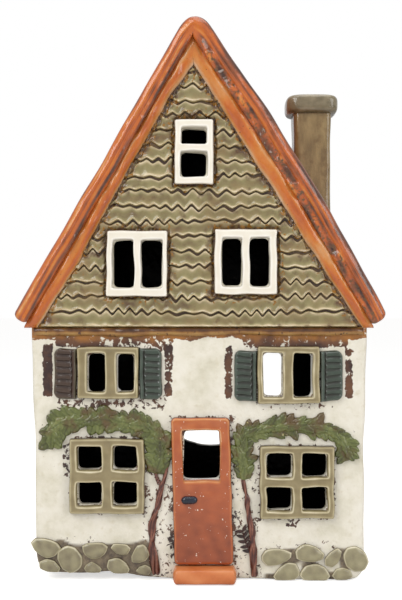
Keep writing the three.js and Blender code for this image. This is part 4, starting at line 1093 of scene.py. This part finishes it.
def garland(route, spacing, length, width, splay, lobes, seed):
    """Leaves along a route of (x, z) points, in two rows that splay to either side and a middle
    row over them. Later leaves lie over earlier ones."""
    route = np.array(route, float)
    far = np.append(0, np.cumsum(np.hypot(*np.diff(route, axis=0).T)))
    last, look, set_back = 399, 12, 0.22
    x, z = [np.interp(np.linspace(0, far[-1], last + 1), far, line) for line in route.T]
    chance = np.random.default_rng(seed)
    count = int(far[-1] / spacing)
    parts = []
    for i in range(count):
        at = int(last * (i + 0.3) / count)
        ahead, behind = min(at + look, last), max(at - look, 0)
        heading = math.atan2(z[ahead] - z[behind], x[ahead] - x[behind])
        for row, (turn, lift) in enumerate(((-1, 0.5), (1, 0.6), (0, 1.25))):
            angle = heading + turn * splay + chance.uniform(-0.3, 0.3)
            size = chance.uniform(0.82, 1.15) * (0.85 if turn == 0 else 1.0)
            start_x = x[at] - math.cos(angle) * length * set_back
            start_z = z[at] - math.sin(angle) * length * set_back
            parts.append(leaf(start_x, start_z, angle, size * length, size * width, lobes,
                              lift + chance.uniform(-0.15, 0.3), seed + 3 * i + row))
    return joined(parts)


leaf_glaze = glaze(
    "moss_green_leaf_glaze",
    ((0.0, "#2d2818"), (0.22, "#454524"), (0.42, "#5a6132"), (0.6, "#6e7441"), (0.8, "#8c8650"),
     (1.0, "#b7a877")),
    mottle_mm=5.0, mottle=0.28, gloss=0.16, coarse=0.5,
    spots=[flecks("#5d4a2c", 7.0, 0.5, 0.16, 0.04), flecks("#a89a6a", 1.8, 0.7, 0.05)])
left_route = [(-18.3, 46.5), (-16.6, 55.6), (-17.9, 62.6), (-25.3, 65.8), (-33.8, 67.6), (-42.2, 68.2),
              (-50.7, 68.4), (-58.3, 67.6), (-62.6, 64.2), (-63.4, 57.5)]
right_route = [(18.6, 43.6), (17.9, 53.5), (19.0, 61.8), (26.2, 64.1), (33.8, 64.9), (42.3, 65.3),
               (50.7, 64.6), (57, 62.6), (61.2, 58.6), (63.2, 52.5)]
# side, route, spacing, length and width in mm, splay in radians, lobes, seed
for word, *plan in (("left", left_route, 3.3, 8.4, 6.6, 1.05, 0.14, 300),
                    ("right", right_route, 2.6, 8.2, 5.0, 0.8, 0.13, 400)):
    shape = garland(*plan)
    up = shape[0][:, 2]
    make_piece(f"{word}_foliage", shape, leaf_glaze, "leaf_glaze",
               stain=rise(up, up.max() - 11, up.max() - 3))

sprig_stalk = np.array([(21.9, 11.2), (20.4, 14.0), (19.0, 17.2), (18.2, 20.6)])
stalk_heading = 112
sprig = [strand(sprig_stalk, np.linspace(0.45, 0.3, 4), 500)]
for seed, share in enumerate(np.linspace(0.12, 1.0, 5), 510):
    x, z = [np.interp(share * 3, range(4), line) for line in sprig_stalk.T]
    for turn in (62, -48):
        sprig.append(leaf(x, z, math.radians(stalk_heading + turn), length=3.4, width=1.5, lobes=0.0,
                          lift=0.4, seed=seed))
points, faces, tone = joined(sprig)
make_piece("right_vine_sprig", (points, faces, tone - 0.3), stem_glaze, "stem_glaze")


# Plinth: rounded pats of clay pressed along the foot as field stones, under an olive-grey glaze
# that breaks pale round their shoulders and lies brown in the joints.
stone_glaze = glaze(
    "field_stone_glaze",
    ((0.0, "#4f4235"), (0.2, "#7d735c"), (0.42, "#989071"), (0.66, "#ada587"), (1.0, "#d8cfb4")),
    mottle_mm=6.0, mottle=0.26, gloss=0.12, coarse=0.2)
stone_spread = 1.24
stone_proud = 1.75


def stone(node, seed):
    """Stone as a dome on a polar grid. The outline follows the CAD stone's own hull, grown a
    little; the height is a superellipse of the distance from the middle, with soft dents."""
    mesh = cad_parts[node].data
    spots = np.zeros(len(mesh.vertices) * 3, np.float32)
    mesh.vertices.foreach_get("co", spots)
    spots = spots.reshape(-1, 3) * 1000
    foot = spots[spots[:, 1] > facade - 0.3][:, [0, 2]]
    middle = (foot.min(0) + foot.max(0)) / 2
    angle = np.linspace(0, 2 * np.pi, 57)
    facing = np.stack([np.cos(angle), np.sin(angle)])
    support = ((foot - middle) @ facing).max(0)
    kernel = np.hanning(5) / np.hanning(5).sum()
    support = np.convolve(np.concatenate([support[-3:-1], support, support[1:3]]), kernel, "valid")
    slope = np.gradient(support, angle)
    slope[0] = slope[-1] = (slope[0] + slope[-1]) / 2
    edge_x = support * facing[0] - slope * facing[1]
    edge_z = support * facing[1] + slope * facing[0]
    ring = np.sin(np.linspace(0, np.pi / 2, 16))[:, None]
    x = middle[0] + ring * (edge_x * stone_spread)
    z = np.maximum(middle[1] + ring * (edge_z * stone_spread), 0.15)
    height = stone_proud * arched(ring, 6) * (1 + 0.1 * waver(x, z, 5, seed)) + 0.1
    tone = 0.31 + 0.6 * bell(ring, 0.93, 0.05) - 0.4 * rise(ring, 0.98, 1.0)
    tone = tone + 0.07 * waver(x, z, 5, seed + 1) + 0.07 * (middle[0] > 0)
    return relief(x, z, height, grid_faces(*x.shape), tone)


stones = sorted(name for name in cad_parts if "plinth_stone" in name)
for seed, name in enumerate(stones, 600):
    make_piece(name, stone(name, 2 * seed), stone_glaze, "stone_glaze")


# Chimney: a square stack built up from a slab and luted to the roof with a low collar. Its olive
# brown glaze runs down in streaks, under a rolled rim of olive grey. The flue goes through.
chimney_low, chimney_high = box_mm("chimney_stack")
rim_low, rim_high = box_mm("chimney_rim")
chimney_x, chimney_y, _ = (rim_low + rim_high) / 2
flue_radius = 4.5
stack_half = (8.35, 8.75)
stack_mean = 8.5
collar_proud, collar_tall = 1.4, 4.4
angle = np.linspace(0, 2 * np.pi, 96, endpoint=False)


def squared(half_x, half_y, power):
    """Rounded square as a superellipse of the angle."""
    return half_x * squarish(np.cos(angle), power), half_y * squarish(np.sin(angle), power)


def stack_surface():
    """Outer wall from the roof to the rim, over its top and down the flue. The foot follows the
    roof's own outer line and flares into the collar."""
    wall_x, wall_y = squared(*stack_half, 7)
    crest_x, crest_z = crests["right"]
    order = np.argsort(crest_x)
    foot = np.interp(chimney_x + wall_x * 1.1, crest_x[order], crest_z[order]) + 0.1
    z = foot + (chimney_high[2] - foot) * np.linspace(0, 1, 80)[:, None]
    flare = collar_proud * (1 - rise(z - foot, 0.5, collar_tall))
    grow = 1 + (flare + 0.18 * waver(angle * 9, z, 20, 701)) / stack_mean
    # The left flank of the stack is painted darker: painted shade.
    painted_shade_flank = 0.34 * rise(-np.cos(angle), 0.72, 0.95)
    pooled = 0.2 * (1 - rise(z - foot, 0.3, 2.5))
    tone = 0.5 + 0.1 * waver(angle * 9, z / 4, 6, 702) - pooled - painted_shade_flank
    outer = np.stack([chimney_x + wall_x * grow, chimney_y + wall_y * grow, z], -1)
    hole_x, hole_y = squared(flue_radius, flue_radius, 2)
    levels = np.array([chimney_high[2], chimney_high[2] - 30, chimney_low[2] + 4])[:, None]
    flue = np.stack([chimney_x + hole_x + 0 * levels, chimney_y + hole_y + 0 * levels,
                     levels + 0 * hole_x], -1)
    # The flue takes a flat dark tone of 0.1: painted shade inside it.
    return sweep(np.concatenate([outer, flue]), np.concatenate([tone, 0.1 + 0 * tone[:3]]))


def rim_surface():
    """Rolled rim: for every angle, a superellipse section between the flue and the outer edge."""
    outer_x, outer_y = squared((rim_high[0] - rim_low[0]) / 2, (rim_high[1] - rim_low[1]) / 2, 4.6)
    hole_x, hole_y = squared(flue_radius, flue_radius, 2)
    turn = np.append(np.linspace(0, 2 * np.pi, 40, endpoint=False), 0)[:, None]
    out = 0.5 + 0.5 * squarish(np.cos(turn), 2.6)
    up = 0.5 + 0.5 * squarish(np.sin(turn), 3.4)
    x = chimney_x + hole_x + (outer_x - hole_x) * out
    y = chimney_y + hole_y + (outer_y - hole_y) * out
    z = rim_low[2] + (rim_high[2] - rim_low[2]) * up + 0 * x
    x = x + 0.2 * waver(x + y, z, 14, 711) * (out - 0.5)
    # Painted highlight on the top of the rim, and painted shade under it and on its side towards the
    # flue.
    tone = 0.45 + 0.25 * rise(up, 0.75, 0.97) - 0.25 * rise(1 - up, 0.8, 1.0)
    tone = tone - 0.4 * rise(1 - out, 0.8, 1.0) + 0.08 * waver(x * 2 + y, z * 2, 9, 712)
    return np.stack([x, y, z], -1).reshape(-1, 3), grid_faces(len(turn), len(angle), ring=True), tone


stack_glaze = glaze(
    "olive_brown_chimney_glaze",
    ((0.0, "#3a2a20"), (0.22, "#5e4a31"), (0.45, "#806b46"), (0.7, "#9a845b"), (1.0, "#c4ac88")),
    mottle_mm=3.4, mottle=0.42, streak=3.6, gloss=0.12,
    spots=[flecks("#6a5232", 5.0, 0.52, 0.2)])
rim_glaze = glaze(
    "olive_grey_rim_glaze",
    ((0.0, "#3a3226"), (0.25, "#615842"), (0.5, "#7d725a"), (0.75, "#958a70"), (1.0, "#bdb197")),
    mottle_mm=5.0, mottle=0.25, gloss=0.13)
make_piece("chimney_stack", stack_surface(), stack_glaze, "chimney_glaze")
make_piece("chimney_rim", rim_surface(), rim_glaze, "chimney_rim_glaze")
